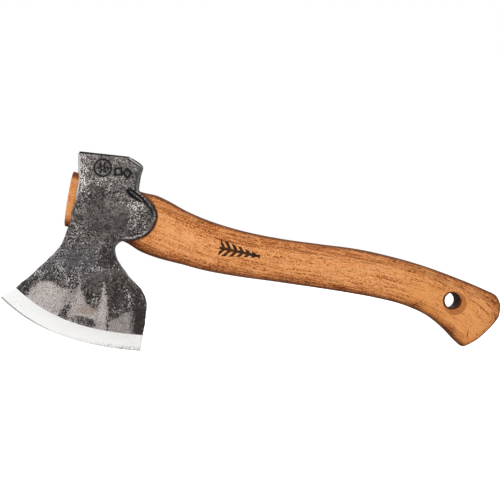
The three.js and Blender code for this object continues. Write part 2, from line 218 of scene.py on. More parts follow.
def smooth_through(points, t, even=False):
    """A smooth curve through points, read at t: 0 is the first point and n - 1 the last. Each span is a cubic
    whose end slopes come from its neighbours, weighed by the square roots of their distances, or alike if
    even."""
    points = np.asarray(points, float)
    padded = np.vstack([2 * points[0] - points[1], points, 2 * points[-1] - points[-2]])
    span = np.clip(np.floor(t).astype(int), 0, len(points) - 2)
    f = (np.asarray(t) - span)[..., None]
    a, b, c, d = (padded[span + k] for k in range(4))

    def gap(p, q):
        return 1.0 if even else np.sqrt(np.linalg.norm(q - p, axis=-1, keepdims=True)) + TINY

    before, here, after = gap(a, b), gap(b, c), gap(c, d)
    slope_b = ((b - a) / before - (c - a) / (before + here) + (c - b) / here) * here
    slope_c = ((c - b) / here - (d - b) / (here + after) + (d - c) / after) * here
    return (
        (2 * f**3 - 3 * f**2 + 1) * b
        + (f**3 - 2 * f**2 + f) * slope_b
        + (3 * f**2 - 2 * f**3) * c
        + (f**3 - f**2) * slope_c
    )


def unit(vectors):
    return vectors / np.linalg.norm(vectors, axis=-1, keepdims=True)


def travelled(points, step=1.0):
    """How far along a line of points each lies from the first, as a count of steps of this length."""
    return np.concatenate([[0], np.cumsum(np.linalg.norm(np.diff(points, axis=0), axis=1) / step)])


BOW_SKEW = 0.2


class Rows:
    """Drawn rows [first x, first z, last x, last z, half thickness, bow], read as smooth functions of t."""

    def __init__(self, drawn):
        self.drawn = np.array(drawn, float)
        self.last = len(drawn) - 1

    def read(self, t):
        """The row's two end points, its half thickness and its bow at each t."""
        first = smooth_through(self.drawn[:, 0:2], t)
        last = smooth_through(self.drawn[:, 2:4], t)
        half, bow = np.moveaxis(smooth_through(self.drawn[:, 4:6], t, even=True), -1, 0)
        return first, last, half, bow

    @staticmethod
    def place(first, last, bow, share):
        """[x, z] at a share of each row: on its chord, pushed off it by bow * 4 share (1 - share), and by
        BOW_SKEW of that more at its first end and less at its last."""
        chord = last - first
        off = unit(np.stack([chord[..., 1], -chord[..., 0]], -1))
        sag = bow[..., None] * 4 * share * (1 - share) * (1 + BOW_SKEW * (1 - 2 * share))
        on_chord = first[..., None, :] + chord[..., None, :] * share[..., None]
        return on_chord + off[..., None, :] * sag[..., None]


def even_steps(path, step):
    """Values of t at steps of even length along the rows' middles; step(t) is that length in millimetres."""
    fine = np.linspace(0, path.last, path.last * FINE_READS + 1)
    first, last, _, _ = path.read(fine)
    steps = travelled((first + last) / 2, step(fine[:-1]))
    return np.interp(np.linspace(0, steps[-1], int(steps[-1]) + 1), steps, fine)


RIPPLE_WAVES = 18


def ripple(x, z, wavelength, seed):
    """Gentle random swell of about unit height: the sum of sine waves with random headings and phases."""
    rng = np.random.default_rng(seed)
    waves = RIPPLE_WAVES
    heading = rng.uniform(0, 2 * math.pi, waves)
    stretch = rng.uniform(0.7, 1.5, waves)
    phase = rng.uniform(0, 2 * math.pi, waves)
    turn = 2 * math.pi / wavelength * stretch
    total = np.zeros(np.broadcast(x, z).shape)
    for k in range(waves):
        total += np.sin(turn[k] * (x * math.cos(heading[k]) + z * math.sin(heading[k])) + phase[k])
    return total * math.sqrt(2 / waves)


def skin(name, rings, marks=None, material=None):
    """A closed mesh from rings of points, an array [ring, place round it, xyz], whose first and last rings
    each come together in a point or a line. marks are float attributes, arrays [ring, place]."""
    count, around = rings.shape[:2]
    index = np.arange(count * around).reshape(count, around)
    near, far = index[:-1], index[1:]
    faces = np.stack([near, far, np.roll(far, -1, 1), np.roll(near, -1, 1)], -1).reshape(-1, 4)
    mesh = bpy.data.meshes.new(name)
    mesh.from_pydata(rings.reshape(-1, 3), [], faces)
    for key, values in (marks or {}).items():
        layer = mesh.attributes.new(key, "FLOAT", "POINT")
        layer.data.foreach_set("value", np.asarray(values, np.float32).ravel())
    if material:
        mesh.materials.append(material)
    piece = bpy.data.objects.new(name, mesh)
    bpy.context.scene.collection.objects.link(piece)
    close(piece)
    return piece


MERGE_DISTANCE = 2e-6  # metres


def close(piece):
    """Merges the points that meet at seams and poles, and turns every face outwards."""
    work = bmesh.new()
    work.from_mesh(piece.data)
    bmesh.ops.remove_doubles(work, verts=work.verts, dist=MERGE_DISTANCE)
    bmesh.ops.dissolve_degenerate(work, edges=work.edges, dist=MERGE_DISTANCE)
    bmesh.ops.recalc_face_normals(work, faces=work.faces)
    work.to_mesh(piece.data)
    work.free()
    piece.data.update()


def cut(piece, *cutters):
    """Takes the cutters' shapes out of the piece, and removes the cutters."""
    for cutter in cutters:
        step = piece.modifiers.new("cut", "BOOLEAN")
        step.operation = "DIFFERENCE"
        step.solver = "MANIFOLD"
        step.object = cutter
        bpy.context.view_layer.update()
        graph = bpy.context.evaluated_depsgraph_get()
        mesh = bpy.data.meshes.new_from_object(piece.evaluated_get(graph))
        piece.modifiers.clear()
        old = piece.data
        piece.data = mesh
        bpy.data.meshes.remove(old)
        bpy.data.objects.remove(cutter)


SHARP_ANGLE = math.radians(35)


def finish(piece, node):
    """Smooths the shading where it isn't sharp, and sets the piece in the frame in place of its node."""
    piece.data.shade_smooth()
    piece.data.set_sharp_from_angle(angle=SHARP_ANGLE)
    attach(piece, BODY)
    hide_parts(node)


# ---------------------------------------------------------------- shader graphs


def arithmetic(operation, swapped=False):
    """A method that adds a Math node for a wire and another value, which comes first if they are swapped."""

    def method(self, other):
        return self.math(operation, *((other, self) if swapped else (self, other)))

    return method


class Wire:
    """A socket that takes part in arithmetic: an expression on wires and numbers adds its Math nodes."""

    __add__ = arithmetic("ADD")
    __radd__ = arithmetic("ADD", swapped=True)
    __sub__ = arithmetic("SUBTRACT")
    __rsub__ = arithmetic("SUBTRACT", swapped=True)
    __mul__ = arithmetic("MULTIPLY")
    __truediv__ = arithmetic("DIVIDE")
    __pow__ = arithmetic("POWER")
    most = arithmetic("MAXIMUM")
    least = arithmetic("MINIMUM")

    def __init__(self, graph, socket):
        self.graph = graph
        self.socket = socket

    def __abs__(self):
        return self.math("ABSOLUTE", self)

    def math(self, operation, *values):
        return self.graph.node("ShaderNodeMath", {"operation": operation}, dict(enumerate(values)))

    def step(self, low, high):
        """0 below low and 1 above high, with a smooth rise between them; high may be the lower one."""
        settings = {"interpolation_type": "SMOOTHSTEP"}
        return self.graph.node("ShaderNodeMapRange", settings, {0: self, 1: low, 2: high})


class Graph:
    """The node tree of one material, with the few nodes that this file uses."""

    def __init__(self, name):
        self.material = bpy.data.materials.new(name)
        self.material.use_nodes = True
        self.tree = self.material.node_tree
        self.tree.nodes.clear()

    def node(self, kind, settings=None, inputs=None, output=0):
        """A new node: its settings are set first, then its sockets get values or links. Gives one output."""
        made = self.tree.nodes.new(kind)
        for key, value in (settings or {}).items():
            if key == "stops":
                self.set_stops(made.color_ramp, value)
            else:
                setattr(made, key, value)
        for key, value in (inputs or {}).items():
            if isinstance(value, Wire):
                self.tree.links.new(value.socket, made.inputs[key])
            else:
                made.inputs[key].default_value = value
        return Wire(self, made.outputs[output]) if made.outputs else None

    @staticmethod
    def set_stops(ramp, stops):
        for place, _ in stops[2:]:
            ramp.elements.new(place)
        for element, (place, value) in zip(ramp.elements, stops):
            element.position = place
            element.color = (*value, 1)

    def place(self, middle):
        """The surface point in millimetres about a middle given in millimetres of the frame."""
        here = self.node("ShaderNodeTexCoord", output="Object")
        scaled = self.node("ShaderNodeVectorMath", {"operation": "SCALE"}, {0: here, "Scale": 1000})
        return self.node("ShaderNodeVectorMath", {"operation": "SUBTRACT"}, {0: scaled, 1: tuple(middle)})

    def axes(self, vector):
        return [self.node("ShaderNodeSeparateXYZ", inputs={0: vector}, output=k) for k in range(3)]

    def stretched(self, vector, factors, turn=0.0):
        """The vector turned about Y, then multiplied axis by axis."""
        turned = self.node("ShaderNodeMapping", inputs={"Vector": vector, "Rotation": (0, turn, 0)})
        return self.node("ShaderNodeVectorMath", {"operation": "MULTIPLY"}, {0: turned, 1: factors})

    def noise(self, vector, scale, detail=2.0, roughness=0.5, distortion=0.0):
        inputs = {"Vector": vector, "Scale": scale, "Detail": detail, "Roughness": roughness}
        return self.node("ShaderNodeTexNoise", inputs={**inputs, "Distortion": distortion})

    def mark(self, name):
        """A float attribute of the mesh."""
        return self.node("ShaderNodeAttribute", {"attribute_name": name}, output="Fac")

    def blend(self, share, first, second):
        """A colour between two colours, each a wire or its red, green and blue."""
        first, second = (end if isinstance(end, Wire) else (*end, 1.0) for end in (first, second))
        return self.node("ShaderNodeMix", {"data_type": "RGBA"}, {0: share, 6: first, 7: second}, output=2)

    def bump(self, height, distance, strength):
        inputs = {"Height": height, "Distance": distance, "Strength": strength}
        return self.node("ShaderNodeBump", inputs=inputs)

    def surface(self, **inputs):
        """The principled shader, with its sockets named by keyword, wired to the output."""
        names = [key.replace("_", " ").title().replace("Ior", "IOR") for key in inputs]
        shader = self.node("ShaderNodeBsdfPrincipled", inputs=dict(zip(names, inputs.values())))
        self.node("ShaderNodeOutputMaterial", inputs={"Surface": shader})
        return self.material


def shade(rgb, factor):
    """A colour made darker, or lighter where the factor is over 1."""
    return [value * factor for value in rgb]


# ---------------------------------------------------------------- head


# The facet at the poll's rear corner runs from this far before the rear face to this far behind it, and falls
# from the first of these depths under the poll's height to the second.
FACET_RUN = (4.4, 4.3)
FACET_FALL = (5.7, 12)


def head_rows(s):
    """Rows across the head from its front face to its rear face, from the poll down to the cutting edge."""
    poll = s.eye_top + s.poll_rise
    toe = s.heel + s.toe_rise
    front, rear = -s.head_length / 2, s.head_length / 2
    shoulder = front - 8  # front face where it leaves the eye
    throat = s.lobe_reach - 34.5  # rear face at the notch
    rise = s.notch - toe
    reach = s.edge_reach + shoulder
    drop = s.notch - s.heel

    def half(share):
        return s.cheek_half + (s.bevel_half - s.cheek_half) * share

    def front_curve(out, down):
        return [shoulder - reach * out, s.notch - rise * down]

    def rear_curve(x, down):
        return [x, s.notch - drop * down]

    lobe, heel_x = s.lobe_reach, s.heel_reach
    return Rows([
        [front + 2.8, poll - 1, rear - FACET_RUN[0], poll - FACET_FALL[0], s.poll_half, 0],
        [front + 2.5, poll - 9.6, rear + FACET_RUN[1], poll - FACET_FALL[1], s.poll_half + 0.4, 0],
        [front + 2.4, poll - 12.4, rear + 4.1, poll - 14.6, s.poll_half + 0.4, 0],
        [front + 2.2, s.eye_top + 5, rear + 1.9, s.eye_top + 3, half(0.12), 0],
        [front + 1.5, s.eye_top - 3, rear + 0.6, s.eye_top - 6, half(0.06), 0],
        [front + 0.6, s.eye_top * 0.6, lobe - 5.8, s.eye_top * 0.3, half(0.02), 0],
        [front - 0.3, s.eye_top * 0.33, lobe - 2, 0.8, half(0), 0],
        [front - 1.5, s.eye_top * 0.07, lobe, -6.3, half(0), 0],
        [front - 2.9, s.eye_foot * 0.17, lobe - 2.3, s.eye_foot * 0.65, half(0.02), 0],
        [front - 4.6, s.eye_foot * 0.44, lobe - 8.8, s.eye_foot + 0.5, half(0.06), 0],
        [front - 6.5, s.eye_foot * 0.69, lobe - 19, s.eye_foot - 2.9, half(0.12), 0],
        [shoulder, s.eye_foot * 0.9, throat + 4, s.eye_foot - 4.3, half(0.2), 0],
        [shoulder - 2.4, s.eye_foot - 3, throat, s.notch, half(0.3), 0],
        [*front_curve(0.14, 0.02), *rear_curve(throat + 2.6, 0.115), half(0.44), 0],
        [*front_curve(0.28, 0.23), *rear_curve(throat + 8.8, 0.245), half(0.58), 0],
        [*front_curve(0.44, 0.42), *rear_curve(heel_x + 0.4, 0.39), half(0.71), 2],
        [*front_curve(0.57, 0.57), *rear_curve(heel_x + 5, 0.525), half(0.82), 4.5],
        [*front_curve(0.68, 0.68), *rear_curve(heel_x + 4.5, 0.68), half(0.91), 7.3],
        [-s.edge_reach + s.bevel_width, toe + s.bevel_width * 0.61,
         heel_x + s.bevel_width * 0.18, s.heel + s.bevel_width, s.bevel_half, s.edge_bow - 1],
        [-s.edge_reach, toe, heel_x, s.heel, 0, s.edge_bow],
    ])


SHEET_COLUMNS = 128
CORNER_STEPS = 5
WALL_STEPS = 12


def rounded_loop():
    """A rounded rectangle as an array [place, 4] of (share across, corner x, side, corner y). A point lies at
    radius + (width - 2 radius) * share + radius * corner x across the row, and at
    (half - radius) * side + radius * corner y through the thickness. The loop starts at the front wall and
    turns by the -Y sheet, the rear wall and the +Y sheet."""
    across = np.linspace(0, 1, SHEET_COLUMNS)
    through = np.linspace(-1, 1, WALL_STEPS)[1:-1]

    def corner(share, side, start):
        angle = np.radians(np.linspace(start, start + 90, CORNER_STEPS))
        steady = np.ones(CORNER_STEPS)
        return np.stack([steady * share, np.cos(angle), steady * side, np.sin(angle)], 1)

    def wall(share, outward, places):
        steady = np.ones(len(places))
        return np.stack([steady * share, steady * outward, places, steady * 0], 1)

    def sheet(shares, side):
        steady = np.ones(len(shares))
        return np.stack([shares, steady * 0, steady * side, steady * side], 1)

    return np.vstack([
        corner(0, -1, 180), sheet(across[1:-1], -1), corner(1, -1, 270), wall(1, 1, through),
        corner(1, 1, 0), sheet(across[-2:0:-1], 1), corner(0, 1, 90), wall(0, -1, -through),
    ])


CROWN = 0.1  # how much thinner the head is at its front and rear faces


def near_line(x, z, points):
    """Distance of each point from a bent line, and how far along it the nearest place is, from 0 to 1."""
    points = np.asarray(points, float)
    starts = travelled(points)
    spans = np.linalg.norm(np.diff(points, axis=0), axis=1)
    best = np.full(x.shape, np.inf)
    along = np.zeros(x.shape)
    for k, span in enumerate(spans):
        run = (points[k + 1] - points[k]) / span
        place = np.clip((x - points[k, 0]) * run[0] + (z - points[k, 1]) * run[1], 0, span)
        gap = np.hypot(x - points[k, 0] - run[0] * place, z - points[k, 1] - run[1] * place)
        closer = gap < best
        best = np.where(closer, gap, best)
        along = np.where(closer, (starts[k] + place) / starts[-1], along)
    return best, along


def depth_inside(x, z, outline):
    """How deep each point lies inside a closed outline, in millimetres; outside it the depth is negative."""
    outline = np.asarray(outline, float)
    gap, _ = near_line(x, z, np.vstack([outline, outline[:1]]))
    inside = np.zeros(x.shape, bool)
    for (x0, z0), (x1, z1) in zip(outline, np.roll(outline, -1, 0)):
        if z0 != z1:
            inside ^= ((z0 > z) != (z1 > z)) & (x < x0 + (z - z0) * (x1 - x0) / (z1 - z0))
    return np.where(inside, gap, -gap)


def groove(x, z, line, width, depth, fade_in=0.12, fade_out=0.3):
    """Depth of a rounded groove along a bent line, that runs out at both of its ends."""
    gap, along = near_line(x, z, line)
    ends = np.clip(along / fade_in, 0, 1) * np.clip((1 - along) / fade_out, 0, 1)
    return depth * np.sqrt(ends) * np.exp(-((gap / width) ** 2))


def fold_depth(s, x, z):
    """The forging fold on each cheek: two slits that start behind the poll, meet, and run out along the
    lobe's rim."""
    lobe = s.lobe_reach
    lower = [(lobe - 22.8, 15.0), (lobe - 19.8, 10.8), (lobe - 15.4, 7.4), (lobe - 10.8, 4.9)]
    upper = [(lobe - 21.6, 15.6), (lobe - 17.7, 13.3), (lobe - 13, 9.6), (lobe - 9.4, 6.2), (lobe - 6.2, 3.0)]
    rim = [(lobe - 11.5, 6.4), (lobe - 7.0, 2.7), (lobe - 4.5, -0.6), (lobe - 2.9, -4.2), (lobe - 2.4, -8.0)]
    return np.maximum.reduce([
        groove(x, z, lower, width=1.0, depth=2.1),
        groove(x, z, upper, width=0.65, depth=1.8),
        groove(x, z, rim, width=0.85, depth=1.1, fade_in=0.2, fade_out=0.5),
    ])


# The stamps: places as [x, height above the eye's top], and sizes.
STAR_PLACE = (-1.7, 10.5)
STAR_SECTOR = math.pi / 3  # six arms
SQUARE_PLACE = (10.2, 7.4)
SQUARE_HALF = 2.4
LOZENGE_PLACE = (17.1, 6.1)
LOZENGE_HALF = 2.3
RING_LINE = 0.7
OUTLINE_LINE = 0.85
STAMP_DEPTH = 0.4
# How the depth of the fold and of the stamps shows as darker colour.
GROOVE_DARK_DEPTH = 0.85
STAMP_DARKNESS = 1.7


def stamp_share(s, x, z):
    """Marks punched into the front cheek of the poll, as a share of their depth: a ring round a plain
    six-armed star, then a small square and a small lozenge beside it."""
    radius = s.stamp_diameter / 2
    away = np.hypot(x - STAR_PLACE[0], z - s.eye_top - STAR_PLACE[1])
    turn = np.arctan2(z - s.eye_top - STAR_PLACE[1], x - STAR_PLACE[0])
    off_arm = (turn + STAR_SECTOR / 2) % STAR_SECTOR - STAR_SECTOR / 2
    on_arm = (away < radius * 0.72) * (away > radius * 0.14)
    arm = np.exp(-((away * np.sin(off_arm) / RING_LINE) ** 2)) * on_arm
    ring = np.exp(-(((away - radius) / RING_LINE) ** 2))
    square = np.maximum(abs(x - SQUARE_PLACE[0]), abs(z - s.eye_top - SQUARE_PLACE[1])) - SQUARE_HALF
    lozenge = abs(x - LOZENGE_PLACE[0]) + abs(z - s.eye_top - LOZENGE_PLACE[1])
    lozenge = lozenge / math.sqrt(2) - LOZENGE_HALF
    outline = np.exp(-((square / OUTLINE_LINE) ** 2)) + np.exp(-((lozenge / OUTLINE_LINE) ** 2))
    return np.clip(ring + arm + outline, 0, 1)


def nick_depth(x, z):
    """A scratch and two small dents in the front cheek, level with the eye."""
    return np.maximum.reduce([
        groove(x, z, [(-1.5, -5.9), (3.5, -6.1), (9, -5.5)], width=0.35, depth=0.28),
        groove(x, z, [(-14.5, -2.6), (-11, -1.2)], width=0.7, depth=0.45, fade_in=0.4, fade_out=0.4),
        groove(x, z, [(2.2, -0.6), (5.2, -1.6)], width=0.5, depth=0.25, fade_in=0.4, fade_out=0.4),
    ])


# Outlines of the patches ground bright above the bevel, from toe to heel. They run on under the bevel.
GROUND_PATCHES = (
    [(-72, -72), (-63.5, -65.3), (-59, -59.8), (-52, -55.2), (-44, -54.6), (-40.4, -58), (-34, -59.5),
     (-27, -61.3), (-26.5, -67), (-29.5, -72.5), (-33.5, -74.5), (-36.8, -77), (-37.8, -81), (-35, -90)],
    [(-32.5, -92), (-31.6, -80.6), (-30.2, -74.2), (-27, -65), (-23.8, -61.5), (-22.8, -56), (-21.7, -44),
     (-20.6, -56), (-20.8, -61), (-18.5, -66.5), (-17.3, -71.5), (-12, -76.5), (-7.6, -78), (-8, -96)],
    [(-12.5, -96), (-11, -83.4), (-7, -74.4), (-4.9, -66.7), (-2.7, -55.5), (-1.2, -66.8), (-0.5, -75.8),
     (-1, -83.6), (-2, -97)],
    [(-1.4, -99), (-0.7, -86.2), (7, -83.7), (11, -80.5), (16.2, -78), (18.6, -78.7), (18.4, -100)],
)

# Where bright specks crowd on the cheeks: [x, z, reach along x, reach along z, wealth].
SPECK_FIELDS = (
    # poll and eye
    (-19, 38, 6, 14, 1.0), (-18, 22, 4, 9, 0.9), (-4, 22, 14, 4, 0.4), (-24, -14, 5, 12, 0.35),
    # lobe
    (22, 3, 5, 4, 1.0), (28, -6, 6, 7, 0.5), (22, -16, 8, 5, 0.35),
    # neck
    (-3, -25, 1.5, 3, 0.6), (-51, -48, 6, 4, 0.95), (-37, -46, 4, 7, 1.05), (-29, -53, 4, 6, 0.8),
    (-21, -46, 3, 4, 0.8), (-8, -46, 5, 2.5, 1.0),
    # blade
    (-12, -70, 5, 7, 0.6), (16.5, -69, 2.0, 7, 1.5), (5, -77, 5, 4, 0.6), (-32, -64, 5, 5, 0.5),
)

# Soft light and dark places in the scale, and on the lobe painted light and shade: [x, z, reach along x,
# reach along z, change of tone].
TONE_AND_PAINTED_LIGHT_FIELDS = (
    # poll and eye
    (-19, 36, 5, 16, 0.26), (-8, 6, 9, 8, -0.12), (-2, -10, 16, 8, -0.06),
    # lobe: the first spot is a painted highlight on the dome's upper middle, the second painted shade low at
    # its rear
    (23, 2.5, 6, 6, 0.5), (30, -20, 10, 5, -0.28),
    # neck
    (-14, -32, 9, 9, 0.06), (5, -36, 8, 8, -0.42), (-28, -38, 9, 6, 0.06), (-1, -47, 11, 3, 0.24),
    (-44, -50, 10, 4, -0.12), (-66, -58, 7, 6, -0.42), (10, -58, 8, 10, -0.28),
    # blade
    (-12, -64, 6, 8, -0.2), (22, -66, 4, 8, -0.28), (-32, -68, 6, 8, -0.26), (3, -70, 5, 9, -0.38),
    (23, -86, 6, 14, -0.6),
)


def field(x, z, spots):
    """The sum of soft spots: each adds its height times exp(-(dx / rx)^2 - (dz / rz)^2)."""
    total = np.zeros(x.shape)
    for mid_x, mid_z, reach_x, reach_z, height in spots:
        total += height * np.exp(-(((x - mid_x) / reach_x) ** 2) - ((z - mid_z) / reach_z) ** 2)
    return total


LOBE_ROWS = slice(4, 13)  # the head's rows whose rear ends outline a lobe
LOBE_READS = 60


def lobe_distance(s, x, z):
    """Distance from the lobes' outline, seen from the side."""
    outline = head_rows(s).drawn[LOBE_ROWS, 2:4]
    smooth = smooth_through(outline, np.linspace(0, len(outline) - 1, LOBE_READS))
    return near_line(x, z, smooth)[0]


GRIND_STEPS = 15
STAMPED_ROWS = (0.2, 3.3)  # the rings lie closer between these rows, for the stamps
FINE_STEP = 0.42
COARSE_STEP = 0.85


def head_sections(s):
    """The head's rows from the poll's brink to the edge: first ends, last ends, half thicknesses, bows, and
    how far down the bevel each lies, from 0 at its start to 1 at the edge, or -1 above it."""
    path = head_rows(s)
    bevel_row = path.last - 1

    def step(t):
        return np.where((t > STAMPED_ROWS[0]) & (t < STAMPED_ROWS[1]), FINE_STEP, COARSE_STEP)

    t = even_steps(path, step)
    t = np.concatenate([t[t < bevel_row - 0.02], [bevel_row]])
    grind = np.linspace(0, 1, GRIND_STEPS + 1)[1:]

    def run_on(above, edge):
        """Adds the rows of the bevel, which runs straight to the edge."""
        share = grind if above.ndim == 1 else grind[:, None]
        return np.concatenate([above, above[-1] + (edge - above[-1]) * share])

    edge_row = path.read(np.array([float(path.last)]))
    rows = [run_on(above, edge) for above, edge in zip(path.read(t), edge_row)]
    return (*rows, np.concatenate([np.full(len(t) - 1, -1.0), [0.0], grind]))


def hammer_swell(s, x, z, half, side):
    """Uneven thickness that the hammer left, unlike on both cheeks, and less where the steel is thinner."""
    steady = np.clip(half / s.cheek_half, 0, 1)
    swell = 0.20 * ripple(x, z, 23, 1) + 0.10 * ripple(x, z, 9, 2) + 0.035 * ripple(x, z, 3.4, 3)
    swell = swell * (0.35 + 0.65 * steady)
    return np.where(side < 0, swell, swell * 0.6 + ripple(x, z, 21, 7) * 0.16 * steady)


def head_surface(s):
    """Rings of the head from the poll's face to the cutting edge, as points about the eye's middle, and the
    marks that the steel's finish reads. Each ring is a rounded rectangle on a drawn row."""
    first, last, half, bow, down = head_sections(s)
    half, down = half[:, None], down[:, None]
    on_bevel = down >= 0
    share, corner_x, side, corner_y = rounded_loop().T
    width = np.linalg.norm(last - first, axis=1)[:, None]
    radius = np.minimum(s.corner, half * 0.45)
    across = radius + (width - 2 * radius) * share + radius * corner_x
    u = across / width
    flat = Rows.place(first, last, bow, u)
    x, z = flat[..., 0], flat[..., 1]

    body = half * (1 - CROWN * np.abs(2 * u - 1) ** 3)
    thick = body + np.where(on_bevel, 0, hammer_swell(s, x, z, half, side))
    front_cheek = side < -0.99
    fold = np.maximum(fold_depth(s, x, z), nick_depth(x, z) * front_cheek)
    stamp = stamp_share(s, x, z) * front_cheek * (u > 0.02) * (u < 0.98)
    thick = np.maximum(thick - fold - stamp * STAMP_DEPTH, radius)
    y = (thick - radius) * side + radius * corner_y

    # The front and rear faces waver a little too.
    waver = 0.22 * ripple(z, y * 0.5, 17, 11) + 0.10 * ripple(z, y, 6, 12)
    on_wall = np.abs(2 * u - 1) ** 14 * np.where(on_bevel, 0, 1)
    run = (last - first) / width
    outward = np.sign(u - 0.5)
    x = x + run[:, None, 0] * outward * waver * on_wall
    z = z + run[:, None, 1] * outward * waver * on_wall

    rings = np.stack([x, y, z], -1)
    bevel_start = rings[np.argmax(on_bevel)]
    over = np.linalg.norm(rings[..., [0, 2]] - bevel_start[None, :, [0, 2]], axis=-1)
    over = np.where(on_bevel, -down * s.bevel_width, over)
    to_cheek = np.maximum(body - np.abs(y) - 2 * radius, 0) * (np.abs(corner_x) == 1)
    fallen = travelled((first + last) / 2)
    marks = {
        "over_bevel": over,
        "ground": np.maximum.reduce([depth_inside(x, z, outline) for outline in GROUND_PATCHES]),
        "specks": field(x, z, SPECK_FIELDS),
        "tone": field(x, z, TONE_AND_PAINTED_LIGHT_FIELDS),
        "groove": np.clip(fold / GROOVE_DARK_DEPTH + stamp * STAMP_DARKNESS, 0, 1),
        "rim": np.minimum(across, width - across) + to_cheek,
        "seam": lobe_distance(s, x, z),
        "brink": np.broadcast_to(fallen[:, None], x.shape),
    }
    return add_poll_face(rings, marks)


POLL_ROUNDING = 1.1
FACE_STEPS = 23


def add_poll_face(rings, marks):
    """Closes the poll: from the brink, which moves down by the rounding, a quarter circle leads up to the
    poll's height, and a face with shallow dents runs in to the middle."""
    brink = rings[0]
    radius = POLL_ROUNDING
    middle = brink.mean(0)
    up = unit(middle - rings[3].mean(0))
    inner = brink + unit(middle - brink) * radius
    face = []
    for shrink in np.linspace(0, 1, FACE_STEPS + 1)[1:]:
        ring = inner + (middle - inner) * shrink
        dents = 0.12 * ripple(ring[:, 0], ring[:, 1], 7, 21) + 0.05 * ripple(ring[:, 0], ring[:, 1], 2.6, 22)
        face.append(ring + up * (dents * min(1.0, shrink * 6) * (1 - shrink**8))[:, None])
    rounding = [
        brink + (inner - brink) * (1 - math.cos(angle)) - up * radius * (1 - math.sin(angle))
        for angle in np.radians([18, 36, 54, 72, 90])
    ]
    added = np.array(face[::-1] + rounding[::-1])
    start = np.array([brink - up * radius])
    # The second ring is left out where it lies nearer to the brink than the rounding.
    kept = 2 if np.dot(middle - rings[1].mean(0), up) < radius else 1
    whole = np.concatenate([added, start, rings[kept:]])
    padded = {
        key: np.concatenate([np.repeat(value[:1], len(added), 0), value[:1], value[kept:]])
        for key, value in marks.items()
    }
    from_brink = np.linalg.norm(added - brink, axis=-1)
    padded["brink"][: len(added)] = from_brink * 2
    padded["rim"][: len(added)] = from_brink
    for key in ("groove", "specks"):
        padded[key][: len(face)] = 0
    return whole, padded


class Marks:
    """The wires that the layers of a finish share: the surface point about the eye's middle in millimetres,
    and the named marks of the mesh."""

    def __init__(self, g, s, names):
        self.here = g.place(s.eye_middle)
        self.x, self.y, self.z = g.axes(self.here)
        for name in names:
            setattr(self, name, g.mark(name))

    def oval(self, x, z, reach_x, reach_z):
        """0 at a place and 1 on an oval round it, rising with the square of the distance."""
        return ((self.x - x) / reach_x) ** 2 + ((self.z - z) / reach_z) ** 2


class SteelMarks(Marks):
    """What the layers of the steel share: the marks of the head and four sizes of mottling."""

    def __init__(self, g, s):
        super().__init__(g, s, ("over_bevel", "ground", "specks", "tone", "groove", "rim", "seam", "brink"))
        self.broad = g.noise(self.here, 0.05, 2, 0.5) - 0.5
        self.blotch = g.noise(self.here, 0.17, 3, 0.6, 0.5) - 0.5
        # The speckle is fainter round the eye and in the smooth dark place under the neck.
        quiet = self.oval(1, -4, 17, 15).least(self.oval(-8, -57, 8, 9))
        busy = (0.85 + quiet.step(0.4, 1.5) * 0.5 + self.broad * 1.6).most(0.6)
        self.grit = (g.noise(self.here, 0.48, 2, 0.7) - 0.5) * busy
        self.grain = (g.noise(self.here, 1.05, 1, 0.5) - 0.5) * busy


def scale_layer(g, c, s, m):
    """Forge scale: dark on the blade and round the eye, paler on the poll, bluish at the neck and brown
    behind it, with bright chips where it broke off, and dark pits. Gives its colour and the chips."""
    poll = m.z.step(s.eye_top - 9, s.eye_top + 6)
    level = poll * 0.24 + 0.37 + m.tone + m.blotch * 1.1 + m.broad * 0.5 + m.grit * 1.15 + m.grain * 1.5
    scale = g.blend(level.step(-0.12, 1.22), c.scale_dark, c.scale_light)
    neck = m.z.step(-22, -34) * m.z.step(-58, -44) * m.x.step(2, -14)
    scale = g.blend(neck * 0.4, scale, c.blued)
    brown = (m.blotch + m.broad * 0.6 + 0.55).step(0.5, 0.72) * m.x.step(-22, 4) * m.z.step(-16, -34)
    scale = g.blend(brown * 0.45, scale, c.rust)
    chips = m.grit * 0.8 + m.grain * 1.8 + m.blotch * 0.3 + m.specks * 0.44 + m.tone.least(0.0) * 0.6
    chips = chips.step(0.38, 0.50) * m.over_bevel.step(-0.2, 0.2)
    scale = g.blend(chips * 0.85, scale, c.chipped)
    pits = (m.grit * 0.6 + m.grain * 1.9 - m.specks * 0.16).step(-0.16, -0.32)
    return g.blend(pits * 0.75, scale, shade(c.scale_dark, 0.3)), chips


def ground_layer(g, c, m):
    """The ground patches: frayed borders, paler at the toe, brown-pink in the middle, and a dark pool low in
    the second one. Gives their colour and where they lie."""
    patch = (m.ground + (m.grit * 5.5 + m.grain * 7.0 + m.blotch * 1.5)).step(-0.6, 0.6)
    pool_x = m.x + 19
    pool = (pool_x / 9.5) ** 2 + ((m.z + 86.6 - pool_x * -0.22) / 4.4) ** 2
    patch = patch * (pool + m.blotch * 1.2 + m.grit * 1.4).step(0.6, 1.25)
    spike = abs(m.x + 4 + (m.z + 75) * 0.06).step(5.5, 2.5) * m.z.step(-93, -84)
    fade = 0.08 + m.x.step(-58, 10) * 0.28 + m.x.step(-2, 4) * 0.26 - spike * 0.36
    fade = fade + m.grit * 1.6 + m.grain * 3.0 + m.blotch * 0.4
    bright = g.blend(fade.step(-0.3, 1.1), c.ground_steel, shade(c.ground_steel, 0.34))
    bright = g.blend(m.oval(-17, -77.6, 9, 3.6).step(1.3, 0.2) * 0.6, bright, c.heat_tint)
    nicks = m.grit * 0.8 + m.grain * 1.7 + m.ground.least(4) * 0.04 + m.tone.least(0.0) * 0.7
    return g.blend(nicks.step(-0.14, -0.26) * 0.8, bright, c.scale_dark), patch


